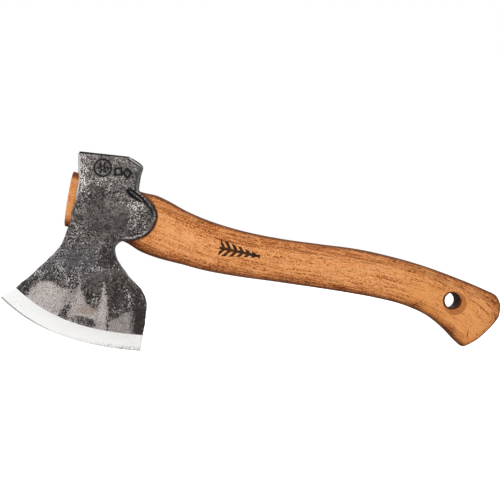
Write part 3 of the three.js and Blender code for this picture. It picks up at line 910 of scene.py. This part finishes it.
def bevel_layer(g, c, s, m):
    """The bevel: ground bright right across, greyer along the very edge and towards the heel. Gives its
    colour, where it lies and its grinding lines."""
    edge = -s.bevel_width
    bevel = m.over_bevel.step(0.15, -0.15)
    honed = m.over_bevel.step(edge + 1.5, edge + 0.9) * (0.25 + m.x.step(-40, -66) * 0.65)
    worn = m.over_bevel.step(edge * 0.6, edge * 0.85) * m.x.step(-30, 8) * (m.grain * 2.0 + 0.35)
    lines = g.noise(g.stretched(m.here, (1.6, 1, 0.10), math.radians(-24)), 1.0, 2, 0.6) - 0.5
    dull = honed * 0.9 + worn * 0.5 + m.x.step(-60, -75) * 0.12 + m.x.step(-10, 26) * 0.16 + lines * 0.3
    dull = dull + m.grit * 0.4 + m.grain * 0.6 + m.over_bevel.step(edge * 0.7, edge) * 0.16
    return g.blend(dull.step(0.05, 1.0), c.bevel_steel, shade(c.bevel_steel, 0.42)), bevel, lines


def wear_and_highlight_layer(g, c, m, steel, off_bevel):
    """Corners rubbed bright, part wear and part painted highlight where they catch the light, most of all at
    the poll's front, and a painted highlight, a glint, under the lobes.
    """
    # The poll's front corner is brightest: a painted highlight on it.
    front = m.x.step(-4, -12) * m.z.step(2, 14)
    worn = (m.grit * 1.2 + front * 0.45 + 0.05).step(0.0, 0.3)
    wear_and_highlight = m.rim.step(2.2, 0.9) * worn * off_bevel * m.brink.step(1.5, 3)
    steel = g.blend(wear_and_highlight * (0.25 + front * 0.65), steel, c.chipped)
    # Painted highlight: a glint along the lobes' lower rims.
    low_side = m.z.step(-15, -18) * m.x.step(10, 16)
    glint = abs(m.seam - 1.8).step(0.8, 0.2) * low_side * (m.grit + m.grain + 0.5).step(0.3, 0.5)
    return g.blend(glint * 0.65, steel, c.chipped)


def shadow_layer(g, c, s, m, steel, off_bevel):
    """Painted shade round the lobes, round the poll's face and along its rear facet, and on long corners;
    darker in the fold and in the stamps with their depth; and a painted highlight, a bright line beside the
    facet's."""
    facet_x = s.head_length / 2 - FACET_RUN[0]
    facet_z = s.eye_top + s.poll_rise - FACET_FALL[0]
    fall, run = FACET_FALL[1] - FACET_FALL[0], sum(FACET_RUN)
    reach = math.hypot(fall, run)
    inside = (facet_x - m.x) * (fall / reach) + (facet_z - m.z) * (run / reach)
    facet = m.x.step(facet_x - 2, facet_x) * m.z.step(s.eye_top + 10, s.eye_top + 12)
    # Painted highlight: a bright line beside the facet's edge; then painted shade along the facet's edges.
    steel = g.blend(abs(inside - 1.0).step(0.6, 0.3) * facet * 0.6, steel, c.chipped)
    facet_lines = abs(inside - 2.0).step(0.65, 0.35).most(inside.step(0.6, 0.3)) * facet
    # Painted shade: a dark rim round the lobes where they stand off the wood, a dark line round the poll's
    # face, and dark long corners.
    lobe_rim = m.seam.step(1.1, 0.4) * (m.x.step(12, 20) * m.z.step(12, 7)) * 0.85
    face_rim = m.brink.step(2.0, 1.4) * (m.grit + 0.95).least(1)
    arris = m.rim.step(0.5, 0.15) * off_bevel * 0.75
    dark = lobe_rim.most(m.groove).most(face_rim).most(arris).most(facet_lines * 0.9)
    return g.blend(dark, steel, c.soot)


def steel_finish(s):
    """Forge scale with bright specks, patches ground over the bevel, and the ground bevel itself."""
    g = Graph("forged_steel")
    c = colours()
    m = SteelMarks(g, s)
    scale, chips = scale_layer(g, c, s, m)
    bright, patch = ground_layer(g, c, m)
    satin, bevel, lines = bevel_layer(g, c, s, m)
    off_bevel = 1 - bevel
    steel = g.blend(bevel, g.blend(patch, scale, bright), satin)
    steel = wear_and_highlight_layer(g, c, m, steel, off_bevel)
    steel = shadow_layer(g, c, s, m, steel, off_bevel)

    clean = patch.most(bevel)
    roughness = 0.62 + m.blotch * 0.3 - chips * 0.15 - patch * 0.1 - bevel * 0.15 + m.groove * 0.2
    metal = 0.3 + patch * 0.25 - bevel * 0.15 + chips * 0.2 - m.groove * 0.3
    relief = (m.grit * 0.9 + m.blotch * 1.2) * (1 - clean) + m.grain * 0.3 + lines * clean * 0.2
    return g.surface(
        base_color=steel, roughness=roughness, metallic=metal, normal=g.bump(relief, 0.0003, 0.8),
        specular_ior_level=0.25,
    )


# ---------------------------------------------------------------- handle

FACE_LEAN = math.radians(10.2)  # of the tenon's end
FACE_SETBACK = 1.7  # of the head's front face from half the head's length, level with the eye's middle


def tenon_end(s, height):
    """How far along the eye's axis the tenon's end lies, at a height above that axis."""
    lean = math.tan(FACE_LEAN)
    face = -s.head_length / 2 - FACE_SETBACK - s.tenon_proud
    return (face - height * (s.sine - s.cosine * lean)) / (s.cosine + s.sine * lean)


def handle_rows(s):
    """Rows across the handle from its belly to its back, from the tenon's end to the knob's."""
    tenon, tenon_half = s.eye_height / 2, s.eye_width / 2
    spread = 0.4
    wrist_half = s.cheek_half * (1 - CROWN) - s.lobe_wall - s.eye_clearance
    wrist = s.lobe_reach - 0.7
    end, toe = s.handle_length, -s.knob_drop

    def below(x, hang):
        return [x, (-tenon - x * s.sine) / s.cosine - hang]

    def above(x, stand):
        return [x, (tenon - x * s.sine) / s.cosine + stand]

    def grip(share, middle, extra, half):
        x = wrist + (end - wrist) * share
        lag = 6 - 12 * share + 33 * share**2
        depth = s.grip_depth / 2 + extra
        return [x - lag, middle - depth, x, middle + depth, half, 0]

    grip_half, knob_half = s.grip_half, s.knob_half
    foot, top = (s.along_eye(tenon_end(s, height), height) for height in (-tenon - spread, tenon + spread))
    return Rows([
        [*foot, *top, tenon_half + spread, 0],
        [*s.along_eye(-10, -tenon), *s.along_eye(-10, tenon), tenon_half, 0],
        [*s.along_eye(8, -tenon + 0.4), *s.along_eye(12, tenon - 0.4), tenon_half, 0],
        [*s.along_eye(20.2, -tenon + 0.3), *s.along_eye(23.4, tenon - 0.7), (tenon_half + wrist_half) / 2, 0],
        [*below(wrist - 13.3, 3.5), *above(wrist, -0.2), wrist_half, 0],
        [*below(wrist - 0.3, 4.8), *above(wrist + 8.6, -1.7), wrist_half + 0.3, 0],
        grip(0.09, -22.75, 3.45, wrist_half + 0.5),
        grip(0.155, -28.95, 2.15, wrist_half + 0.3),
        grip(0.25, -35.4, 0.6, grip_half + 0.3),
        grip(0.364, -40.85, -0.45, grip_half),
        grip(0.477, -45.35, -0.45, grip_half),
        grip(0.59, -49.85, -0.35, grip_half),
        grip(0.69, -55.3, -1.2, grip_half + 0.2),
        grip(0.778, -61.5, -2, grip_half + 0.5),
        [end - 57, toe + 24.2, end - 32, toe + 52.5, knob_half - 0.2, 0],
        [end - 44.4, toe + 13.8, end - 10.5, toe + 43.2, knob_half, 0],
        [end - 35.6, toe + 4.4, end - 2.9, toe + 39, knob_half, 0],
        [end - 29.6, toe, end + 0.3, toe + 31.7, knob_half, 0.6],
        [end - 22.6, toe + 2.6, end - 0.8, toe + 23.2, knob_half, 1],
    ])


HANDLE_AROUND = 112
OVAL_POWER = 2.5  # 2 is an ellipse; more flattens the sides


def oval_rings(first, last, half, bow):
    """Flattened ovals on rows: at angle a the share across is (1 - cos a) / 2, and the thickness is the half
    thickness times (1 - |cos a|^p)^(1/p)."""
    angle = np.linspace(0, 2 * math.pi, HANDLE_AROUND, endpoint=False)
    cosine = np.cos(angle)
    share = (1 - cosine) / 2
    flat = Rows.place(first, last, bow, np.broadcast_to(share, (len(half), HANDLE_AROUND)))
    bulge = np.clip(1 - np.abs(cosine) ** OVAL_POWER, 0, 1) ** (1 / OVAL_POWER)
    y = -np.sign(np.sin(angle)) * bulge * half[:, None]
    return np.stack([flat[..., 0], y, flat[..., 1]], -1), share


def pull_in(ring, steps, bulge=0.0, way=None):
    """Rings that run from a ring in to its middle, rising by up to bulge along a way as they go."""
    middle = ring.mean(0)
    shrink = np.linspace(0, 1, steps + 1)[1:, None, None]
    inward = ring + (middle - ring) * shrink
    return inward if way is None else inward + np.asarray(way) * bulge * (1 - (1 - shrink) ** 2)


GRIP_ROWS = (3.5, 15.5)  # between these rows the rings lie further apart
GRIP_STEP = 1.15
END_STEP = 0.8
ROUNDED_ROWS = 1.45  # rows over which the knob's end rounds over
TENON_CHAMFER = 0.7
KNOB_BULGE = 0.5


def handle_surface(s):
    """Rings of the handle from the middle of the tenon's end to the middle of the knob's."""
    path = handle_rows(s)
    t = even_steps(path, lambda t: np.where((t < GRIP_ROWS[0]) | (t > GRIP_ROWS[1]), END_STEP, GRIP_STEP))
    first, last, half, bow = path.read(t)

    # The knob's end rounds over: a quarter circle through the thickness in the last stretch.
    turn = np.clip((t - (path.last - ROUNDED_ROWS)) / ROUNDED_ROWS, 0, 1)
    half = half - s.knob_round * (1 - np.sqrt(np.clip(1 - turn**2, 0, 1)))
    rings, share = oval_rings(first, last, half, bow)

    # Hand-sanded: the surface wavers by about a tenth of a millimetre.
    x, y, z = np.moveaxis(rings, -1, 0)
    waver = 0.10 * ripple(x, z, 38, 31) + 0.04 * ripple(x, z, 13, 32)
    rings[..., 1] += np.sign(y) * waver * np.clip(np.abs(y) / 6, 0, 1) * (t > 5)[:, None]

    # The tenon's end has a small broken corner before its flat face.
    eye_way = np.array([-s.cosine, 0, s.sine])
    brink = rings[0]
    face = brink + unit(brink.mean(0) - brink) * TENON_CHAMFER
    shoulder = brink - eye_way * TENON_CHAMFER
    tenon = np.concatenate([pull_in(face, 14)[::-1], face[None], shoulder[None]])

    end_way = unit(rings[-1].mean(0) - rings[-6].mean(0))
    knob = pull_in(rings[-1], 12, KNOB_BULGE, end_way)
    whole = np.concatenate([tenon, rings[1:], knob])

    way = travelled((first + last) / 2)
    along = np.concatenate([np.zeros(len(tenon)), way[1:], np.full(len(knob), way[-1])])
    depth = np.linalg.norm(last - first, axis=1)
    shrink = 1 - np.linspace(0, 1, len(knob) + 1)[1:]
    depths = np.concatenate([np.full(len(tenon), depth[0]), depth[1:], depth[-1] * shrink])
    spread = np.concatenate([np.ones(len(whole) - len(knob)), shrink])[:, None]
    from_end = np.concatenate([way[-1] - along[: -len(knob)], (1 - shrink) * depth[-1] / 2])
    marks = {
        "from_end": np.repeat(from_end[:, None], HANDLE_AROUND, 1),
        "share": 0.5 + (share - 0.5) * spread,
        "along": np.repeat(along[:, None], HANDLE_AROUND, 1),
        "across": (share - 0.5) * depths[:, None],
        "seam": lobe_distance(s, whole[..., 0], whole[..., 2]),
    }
    return whole, marks


CUTTER_STEP = 1.6
CUTTER_ROWS = 7  # the handle's rows down to beyond the lobes
CUT_PAST_HEAD = 20


def eye_cutter(s):
    """The handle from its tenon to beyond the lobes, grown by the clearance and carried out past the head."""
    path = handle_rows(s)
    t = even_steps(path, lambda t: np.full(t.shape, CUTTER_STEP))
    t = t[t < CUTTER_ROWS]
    first, last, half, bow = path.read(t)
    out = unit(last - first) * s.eye_clearance
    rings, _ = oval_rings(first - out, last + out, half + s.eye_clearance, bow)
    start = rings[0] + np.array([-s.cosine, 0, s.sine]) * CUT_PAST_HEAD
    whole = np.concatenate([pull_in(start, 1)[::-1], start[None], rings, pull_in(rings[-1], 1)])
    return skin("eye_cutter", s.in_frame(whole))


BORE_TO_BACK = 1.4  # from the knob's middle line
BORE_LEAN = 0.06  # how far the hand-drilled hole runs towards the head on each millimetre through the knob
MOUTH_INSET = 0.12  # how far under the knob's half thickness the mouths end
CUT_PAST_WOOD = 4


def bore_middle(s):
    """The lanyard hole's middle: near the knob's middle line, a little towards the back."""
    rows = handle_rows(s).drawn
    middles = (rows[:, 0:2] + rows[:, 2:4]) / 2
    end = middles[-1]
    inward = unit(middles[-5] - end)
    return end + inward * s.bore_to_end + np.array([inward[1], -inward[0]]) * BORE_TO_BACK


def bore_cutter(s):
    """A spool through the knob: a straight bore that opens in a quarter circle at each mouth."""
    radius, flare, half = s.bore_diameter / 2, s.bore_flare, s.knob_half
    angle = np.radians(np.linspace(0, 90, 10))
    mouth_r = radius + flare * (1 - np.cos(angle))
    mouth_y = half - flare + flare * np.sin(angle) - MOUTH_INSET
    far = half + CUT_PAST_WOOD
    profile_r = np.concatenate([[0, mouth_r[-1]], mouth_r[::-1], [radius], mouth_r, [mouth_r[-1], 0]])
    profile_y = np.concatenate([[-far, -far], -mouth_y[::-1], [0], mouth_y, [far, far]])
    turn = np.linspace(0, 2 * math.pi, 72, endpoint=False)
    x, z = bore_middle(s)
    radii, places = profile_r[:, None], profile_y[:, None]
    round_x = x + radii * np.cos(turn) - places * BORE_LEAN
    rings = np.stack(np.broadcast_arrays(round_x, places, z + radii * np.sin(turn)), -1)
    return skin("bore_cutter", s.in_frame(rings))


GRAIN_SLOPE = math.radians(14.5)  # fall of the grain towards the knob, for its cut ends
WORN_REACH = 9.5  # of the browner wood round the hole
TICK_PLACE = (276, -98.7)  # of a short dark line under the hole, near the knob's toe
TICK_REACH = 3.1


class WoodMarks(Marks):
    """What the layers of the wood share: the handle's marks, and lines of several sizes that follow it."""

    def __init__(self, g, s):
        super().__init__(g, s, ("share", "along", "across", "seam", "from_end"))
        rise = self.across + self.x * 0.03
        flow = g.node("ShaderNodeCombineXYZ", inputs={0: self.along, 1: self.y, 2: rise})

        def lines(length, width, detail=2.0, distortion=0.0):
            stretched = g.stretched(flow, (1 / length, 1 / width, 1 / width))
            return g.noise(stretched, 1.0, detail, 0.6, distortion) - 0.5

        self.bands = lines(130, 7, 2, 0.3)
        self.streaks = lines(52, 2.2, 3, 0.2)
        self.veins = lines(75, 1.2, 2, 0.3)
        self.fine = lines(26, 0.95)
        self.short = lines(9, 0.7, 1)
        self.flecks = lines(5.0, 0.8, 1)
        self.mottle = g.noise(self.here, 0.10, 2, 0.5) - 0.5
        self.dust = g.noise(self.here, 0.9, 1, 0.5) - 0.5
        self.in_head = self.along.step(24, 14)
        self.wrist = self.along.step(95, 50)

    def lane(self, middle, half):
        """A band along the handle at a share of its depth: 1 in its middle, and 0 from half a width on."""
        return (1 - (abs(self.share - middle) / half) ** 2).most(0.0)


def grain_layer(g, c, m):
    """Pale and brown lines, browner towards the back and along the belly, partly the wood's colour and partly
    painted shade of the handle's rounded sides, which leaves the lower middle palest like a painted
    highlight.
    """
    back = m.share.step(0.5, 0.98)
    belly = (m.share + m.streaks * 0.15).step(0.24, 0.04)
    tail = m.along.step(190, 240)
    texture = m.streaks * 0.9 + m.fine * 1.3 + m.flecks * 1.0 + m.dust * 1.8 + m.veins * 0.7
    level = 0.81 + m.bands * 0.7 + m.mottle * 0.5 + texture * (1 - m.in_head * 0.5)
    # Darkening towards the back and the belly: partly wood colour, partly painted shade where the oval
    # section turns away.
    level = level - back * (0.24 + tail * 0.04) - belly * (0.43 + m.wrist * 0.22)
    stops = ((0.0, c.wood_dark), (0.36, c.wood_mid), (0.68, c.wood_light), (1.0, c.wood_pale))
    return g.node("ShaderNodeValToRGB", {"stops": stops}, {0: level})


def streak_layer(g, c, m, wood):
    """Dark streaks a little inside the back and a few along the belly, and a more golden knob."""
    low_lane = m.lane(0.10, 0.10) * (0.5 + m.wrist * 0.5)
    dark_line = m.veins * 1.3 + m.streaks * 0.6 + m.bands * 0.6 + m.dust * 0.5
    dark_line = dark_line + m.lane(0.83, 0.13) * 0.20 + low_lane * 0.25
    knob = m.along.step(225, 250)
    dark_line = dark_line.step(0.22, 0.38) * (0.8 - knob * 0.45) * (1 - m.in_head * 0.8)
    wood = g.blend(dark_line, wood, c.wood_dark)
    golden = m.along.step(252, 285) * (0.36 + m.mottle * 2.0) * m.share.step(0.85, 0.5)
    return g.blend(golden.least(0.5).most(0.0), wood, c.wood_gold)


def end_grain_layer(g, c, m, wood):
    """Dotted wood at the tenon's end and where the knob is cut across the grain."""
    normal = g.node("ShaderNodeTexCoord", output="Normal")
    ways = {0: normal, 1: (math.cos(GRAIN_SLOPE), 0, -math.sin(GRAIN_SLOPE))}
    facing = g.node("ShaderNodeVectorMath", {"operation": "DOT_PRODUCT"}, ways, output="Value")
    dots = g.noise(g.stretched(m.here, (0.3, 1.1, 1.1), -GRAIN_SLOPE), 1.0, 2, 0.5)
    cut_wood = g.blend(dots.step(0.4, 0.65), shade(c.wood_light, 0.6), shade(c.wood_dark, 1.8))
    return g.blend(abs(facing).step(0.6, 0.95) * 0.75, wood, cut_wood)


def shade_and_grime_layer(g, c, s, m, wood):
    """Browner, worn wood round the hole, a short dark line under it and dark flecks of dust; and painted
    shade in the hole, in the seam under the lobes, on the corners of the section and round the knob's end.
    Gives the colour and the mask of shade and grime."""
    bore_x, bore_z = bore_middle(s)
    from_bore = ((m.x - bore_x) ** 2 + (m.z - bore_z) ** 2) ** 0.5 - s.bore_diameter / 2
    worn = ((m.x - bore_x - 2.3) ** 2 + (m.z - bore_z + 2.0) ** 2) ** 0.5
    worn = worn.step(WORN_REACH, WORN_REACH - 0.9) * (0.68 + m.dust * 1.5)
    wood = g.blend(worn, wood, shade(c.wood_mid, 0.9))
    tick_x, tick_z = TICK_PLACE
    tick = abs(m.x - tick_x - (m.z + 99) * 0.15).step(0.6, 0.3) * m.y.step(-3, -5) * 0.6
    # The first five places are painted shade: on the section's back and belly corners, in the hole, in the
    # seam under the lobes, on the tenon's top corner and round the knob's end. The last is a real mark.
    places = (
        abs(m.share * 2 - 1).step(0.82, 0.98) * m.along.step(22, 30) * 0.8,
        from_bore.step(1.2, 0.7),
        m.seam.step(1.4, 0.5) * 0.85,
        m.share.step(0.84, 0.94) * m.along.step(8, 4) * 0.75,
        m.from_end.step(1.8, 0.6) * 0.8,
        tick * abs(m.z - tick_z).step(TICK_REACH, TICK_REACH - 0.6),
    )
    grime_and_shade = (reduce(Wire.most, places) + m.flecks * 0.2).least(0.97).most(0.0)
    return g.blend(grime_and_shade, wood, shade(c.wood_dark, 0.6)), grime_and_shade


def wood_finish(s):
    """Oiled hickory: lines and pores that follow the handle, end grain where it is cut across, painted shade
    on its rounded sides, in its hole and in the seam under the lobes, some grime, and a burnt mark on the
    front of the grip."""
    g = Graph("hickory")
    c = colours()
    m = WoodMarks(g, s)
    wood = streak_layer(g, c, m, grain_layer(g, c, m))
    pores = (m.short + m.fine * 0.5 + m.dust * 0.3).step(0.17, 0.30)
    wood = g.blend(pores * 0.5 * (1 - m.in_head * 0.7), wood, shade(c.wood_dark, 1.3))
    wood = end_grain_layer(g, c, m, wood)
    wood, grime_and_shade = shade_and_grime_layer(g, c, s, m, wood)
    burn = burnt_twig(g, m)
    wood = g.blend(burn, wood, c.burn)
    roughness = 0.5 + pores * 0.15 + burn * 0.3 + m.flecks * 0.2 + grime_and_shade * 0.2
    relief = (1 - pores) * 0.6 + m.fine * 0.6 + m.streaks * 0.4 - burn * 1.0
    return g.surface(
        base_color=wood, roughness=roughness, normal=g.bump(relief, 0.00012, 0.8), specular_ior_level=0.1
    )


TWIG_MIDDLE = (102.2, -34.2)
TWIG_SLOPE = math.radians(13)
TWIG_HALF = 16.0  # half its length
NEEDLE_PITCH = 4.8
NEEDLE_REACH = 6.6  # of the longest needles, at the stem's thick end
NEEDLE_TAPER = 0.17
NEEDLE_SLANT = 0.8
PHASE = 60.0  # brings the needles into step with the stem's end


def burnt_twig(g, m):
    """A burnt mark on the grip's front: a plain fir twig, a straight stem with slanting needles."""
    from_x, from_z = m.x - TWIG_MIDDLE[0], m.z - TWIG_MIDDLE[1]
    run = from_x * math.cos(TWIG_SLOPE) - from_z * math.sin(TWIG_SLOPE)
    rise = from_x * math.sin(TWIG_SLOPE) + from_z * math.cos(TWIG_SLOPE)
    stem = abs(rise).step(1.2, 0.9) * abs(run).step(TWIG_HALF + 0.2, TWIG_HALF - 0.2)
    lean = run + abs(rise) * NEEDLE_SLANT
    comb = g.node("ShaderNodeMath", {"operation": "PINGPONG"}, {0: lean + PHASE, 1: NEEDLE_PITCH / 2})
    reach = NEEDLE_REACH - (run + TWIG_HALF) * NEEDLE_TAPER
    needles = comb.step(1.5, 1.15) * (abs(rise) - reach).step(0.3, -0.3)
    needles = needles * abs(run).step(TWIG_HALF, TWIG_HALF - 0.5)
    front = m.y.step(-1, -3)
    return (stem.most(needles) * front * (0.94 + m.flecks * 0.5)).least(1)


# ---------------------------------------------------------------- wedges

WEDGE_LENGTH = 36
WEDGE_THICKNESS = 5
WEDGE_TIP = 1
WEDGE_CLEARANCE = 0.3
SPIDER_LEGS = 3
SPIDER_LEG_LENGTH = 7.5
SPIDER_THICKNESS = 2.2
SPIDER_TIP = 0.5
SPIDER_NARROWING = 0.75  # how long a leg still is at the tip
SPIDER_DEPTH = 16
SPIDER_PROUD = 0.5
SPIDER_CLEARANCE = 0.3


KERF_PAST = 10  # how far the cutters reach past the wood
SPIDER_PAST = 5


def prism(name, s, *outlines):
    """A closed bar through outlines of as many points, closed at both ends to its middle."""
    start, end = (np.tile(outlines[k].mean(0), (len(outlines[k]), 1)) for k in (0, -1))
    return skin(name, s.in_frame(np.array([start, *outlines, end])))


def kerf_cutter(s):
    """The saw kerf: a slab along the eye's axis, tapering like the wooden wedge with its clearance."""
    start, tip = tenon_end(s, 0) - KERF_PAST, tenon_end(s, 0) + WEDGE_LENGTH + WEDGE_CLEARANCE
    thin = WEDGE_TIP / 2 + WEDGE_CLEARANCE
    widening = (WEDGE_THICKNESS - WEDGE_TIP) / 2 * KERF_PAST / WEDGE_LENGTH
    thick = WEDGE_THICKNESS / 2 + WEDGE_CLEARANCE + widening
    tall = s.eye_height / 2 + KERF_PAST

    def outline(along, half):
        (x0, z0), (x1, z1) = (s.along_eye(along, above) for above in (-tall, tall))
        return np.array([(x0, -half, z0), (x1, -half, z1), (x1, half, z1), (x0, half, z0)])

    return prism("kerf_cutter", s, outline(start, thick), outline(tip, thin))


def spider_cutter(s):
    """The pocket of the three-legged steel wedge, driven square to the tenon's end."""

    def outline(along, leg_length, thickness):
        points = []
        for leg in range(SPIDER_LEGS):
            angle = math.pi / 2 + leg * 2 * math.pi / SPIDER_LEGS
            way = np.array([math.cos(angle), math.sin(angle)])
            across = np.array([-way[1], way[0]]) * thickness / 2
            between = angle + math.pi / SPIDER_LEGS
            crotch = thickness / 2 / math.sin(math.pi / SPIDER_LEGS)
            points += [way * leg_length - across, way * leg_length + across]
            points.append(np.array([math.cos(between), math.sin(between)]) * crotch)
        y, up = np.array(points).T
        x0, z0 = s.along_eye(tenon_end(s, 0), 0)
        cosine, sine = math.cos(FACE_LEAN), math.sin(FACE_LEAN)
        return np.stack([x0 + along * cosine + up * sine, y, z0 - along * sine + up * cosine], 1)

    room = SPIDER_CLEARANCE
    leg, thickness = SPIDER_LEG_LENGTH + room, SPIDER_THICKNESS + 2 * room
    out, face = (outline(along, leg, thickness) for along in (-SPIDER_PROUD - SPIDER_PAST, -SPIDER_PROUD))
    tip = outline(SPIDER_DEPTH + room, SPIDER_LEG_LENGTH * SPIDER_NARROWING + room, SPIDER_TIP + 2 * room)
    return prism("spider_cutter", s, out, face, tip)


def wedge_wood_finish(s):
    """Plain pale wood, sawn across at the tenon's end."""
    g = Graph("wedge_wood")
    c = colours()
    here = g.place(s.eye_middle)
    lines = g.noise(g.stretched(here, (0.4, 3.2, 0.5), s.eye_slope), 1.0, 3, 0.6)
    grit = g.noise(here, 1.6, 2, 0.5)
    tone = (lines * 0.7 + grit * 0.4).step(0.35, 0.75)
    pale = [value * factor for value, factor in zip(c.wood_light, (0.95, 1.2, 1.6))]
    wood = g.blend(tone, pale, c.wood_mid)
    return g.surface(base_color=wood, roughness=0.6 + (grit - 0.5) * 0.2, normal=g.bump(lines, 0.0001, 0.6))


def wedge_steel_finish(s):
    """Plain steel with a dull, hammered face."""
    g = Graph("wedge_steel")
    here = g.place(s.eye_middle)
    dents = g.noise(here, 0.55, 2, 0.5)
    grit = g.noise(here, 2.4, 3, 0.6)
    tone = (dents * 0.6 + grit * 0.5).step(0.3, 0.8)
    steel = g.blend(tone, (0.16, 0.15, 0.145), (0.46, 0.45, 0.43))
    roughness = 0.38 + grit * 0.2
    return g.surface(base_color=steel, roughness=roughness, metallic=0.85, normal=g.bump(dents, 0.0003, 0.6))


# ---------------------------------------------------------------- operators


# The lamps: place from the frame's origin, and side of the square, in metres.
LAMPS = {
    "key": ((-0.6, -1.1, 0.95), 0.7),
    "fill": ((0.9, -1.2, 0.25), 1.0),
    "back": ((0.3, 1.3, 0.8), 1.2),
    "top": ((0.0, 0.1, 1.5), 1.4),
}
FLOOR_HALF = 6.0
FLOOR_GLOW = 0.9


class HATCHET_OT_stage(bpy.types.Operator):
    """Sets up the camera, the lights, the surround and the floor"""

    bl_idname = "hatchet.stage"
    bl_label = "Stage"

    def execute(self, context):
        scene = context.scene
        studio = scene.hatchet_studio
        low, high = (np.array(corner) for corner in cad_box)
        middle = (low + high) / 2

        camera = bpy.data.cameras.new("camera")
        camera.lens = camera.sensor_width * studio.camera_distance / studio.field_width
        camera.clip_start, camera.clip_end = 0.01, 50
        eye = bpy.data.objects.new("camera", camera)
        eye.location = middle + np.array([studio.camera_aside, -studio.camera_distance, 0])
        eye.rotation_euler = (math.pi / 2, studio.camera_roll, 0)
        scene.collection.objects.link(eye)
        scene.camera = eye

        for name, (place, size) in LAMPS.items():
            self.lamp(scene, name, getattr(studio, f"{name}_power"), place, middle, size)
        self.surround(scene, studio.sky)
        self.floor(scene)
        scene.view_settings.view_transform = "Standard"
        return {"FINISHED"}

    @staticmethod
    def lamp(scene, name, power, place, aim, size):
        """A square area light, turned towards what it lights."""
        data = bpy.data.lights.new(name, "AREA")
        data.energy = power
        data.size = size
        lamp = bpy.data.objects.new(name, data)
        lamp.location = place
        way = Vector(aim) - lamp.location
        lamp.rotation_euler = way.to_track_quat("-Z", "Y").to_euler()
        scene.collection.objects.link(lamp)

    @staticmethod
    def surround(scene, brightness):
        """A white surround, which is dimmer as a light than it looks."""
        world = bpy.data.worlds.new("surround")
        world.use_nodes = True
        tree = world.node_tree
        seen = tree.nodes.new("ShaderNodeLightPath").outputs["Is Camera Ray"]
        strength = tree.nodes.new("ShaderNodeMapRange")
        tree.links.new(seen, strength.inputs["Value"])
        strength.inputs["To Min"].default_value = brightness
        strength.inputs["To Max"].default_value = 1.0
        tree.nodes["Background"].inputs["Color"].default_value = (1, 1, 1, 1)
        tree.links.new(strength.outputs[0], tree.nodes["Background"].inputs["Strength"])
        scene.world = world

    @staticmethod
    def floor(scene):
        """A plain pale floor under the hatchet."""
        half, low = FLOOR_HALF, cad_box[0][2]
        mesh = bpy.data.meshes.new("floor")
        corners = [(-half, -half, low), (half, -half, low), (half, half, low), (-half, half, low)]
        mesh.from_pydata(corners, [], [(0, 1, 2, 3)])
        g = Graph("floor")
        seen = g.node("ShaderNodeLightPath", output="Is Camera Ray")
        glow = g.blend(seen, (0, 0, 0), (1, 1, 1))
        tint = (*colours().floor, 1.0)
        paint = g.surface(base_color=tint, roughness=0.9, emission_color=glow, emission_strength=FLOOR_GLOW)
        mesh.materials.append(paint)
        floor = bpy.data.objects.new("floor", mesh)
        scene.collection.objects.link(floor)


class HATCHET_OT_head(bpy.types.Operator):
    """Forges the head: poll, eye, side lobes, bearded blade and ground bevel"""

    bl_idname = "hatchet.head"
    bl_label = "Head"

    def execute(self, context):
        s = sizes()
        rings, marks = head_surface(s)
        head = skin("forged_head", s.in_frame(rings), marks, steel_finish(s))
        cut(head, eye_cutter(s))
        finish(head, "axe_head")
        return {"FINISHED"}


class HATCHET_OT_handle(bpy.types.Operator):
    """Shapes the curved hickory handle, with its kerf and its lanyard hole"""

    bl_idname = "hatchet.handle"
    bl_label = "Handle"

    def execute(self, context):
        s = sizes()
        rings, marks = handle_surface(s)
        handle = skin("hickory_handle", s.in_frame(rings), marks, wood_finish(s))
        cut(handle, bore_cutter(s), kerf_cutter(s), spider_cutter(s))
        finish(handle, "handle")
        return {"FINISHED"}


class HATCHET_OT_wedges(bpy.types.Operator):
    """Gives the wooden wedge and the steel wedge their finishes"""

    bl_idname = "hatchet.wedges"
    bl_label = "Wedges"

    def execute(self, context):
        s = sizes()
        for node, material in (("eye_wedge", wedge_wood_finish(s)), ("steel_wedge", wedge_steel_finish(s))):
            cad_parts[node].material_slots[0].material = material
        return {"FINISHED"}


class HATCHET_PT_panel(bpy.types.Panel):
    """Lists the hatchet's pieces and their sizes and colours"""

    bl_label = "Carving Hatchet"
    bl_space_type = "VIEW_3D"
    bl_region_type = "UI"
    bl_category = "Hatchet"

    def draw(self, context):
        for operator in OPERATORS:
            self.layout.operator(operator.bl_idname)
        for name, kind in GROUPS.items():
            box = self.layout.box()
            for value in kind.__annotations__:
                box.prop(getattr(context.scene, name), value)


GROUPS = {"hatchet_sizes": HatchetSizes, "hatchet_colours": HatchetColours, "hatchet_studio": HatchetStudio}
OPERATORS = (HATCHET_OT_stage, HATCHET_OT_head, HATCHET_OT_handle, HATCHET_OT_wedges)
CLASSES = (*GROUPS.values(), *OPERATORS, HATCHET_PT_panel)


def register():
    for each in CLASSES:
        bpy.utils.register_class(each)
    for name, kind in GROUPS.items():
        setattr(bpy.types.Scene, name, bpy.props.PointerProperty(type=kind))


def unregister():
    for name in reversed(GROUPS):
        delattr(bpy.types.Scene, name)
    for each in reversed(CLASSES):
        bpy.utils.unregister_class(each)


def main():
    register()
    bpy.ops.hatchet.stage()
    bpy.ops.hatchet.head()
    bpy.ops.hatchet.handle()
    bpy.ops.hatchet.wedges()


if __name__ == "__main__":
    main()
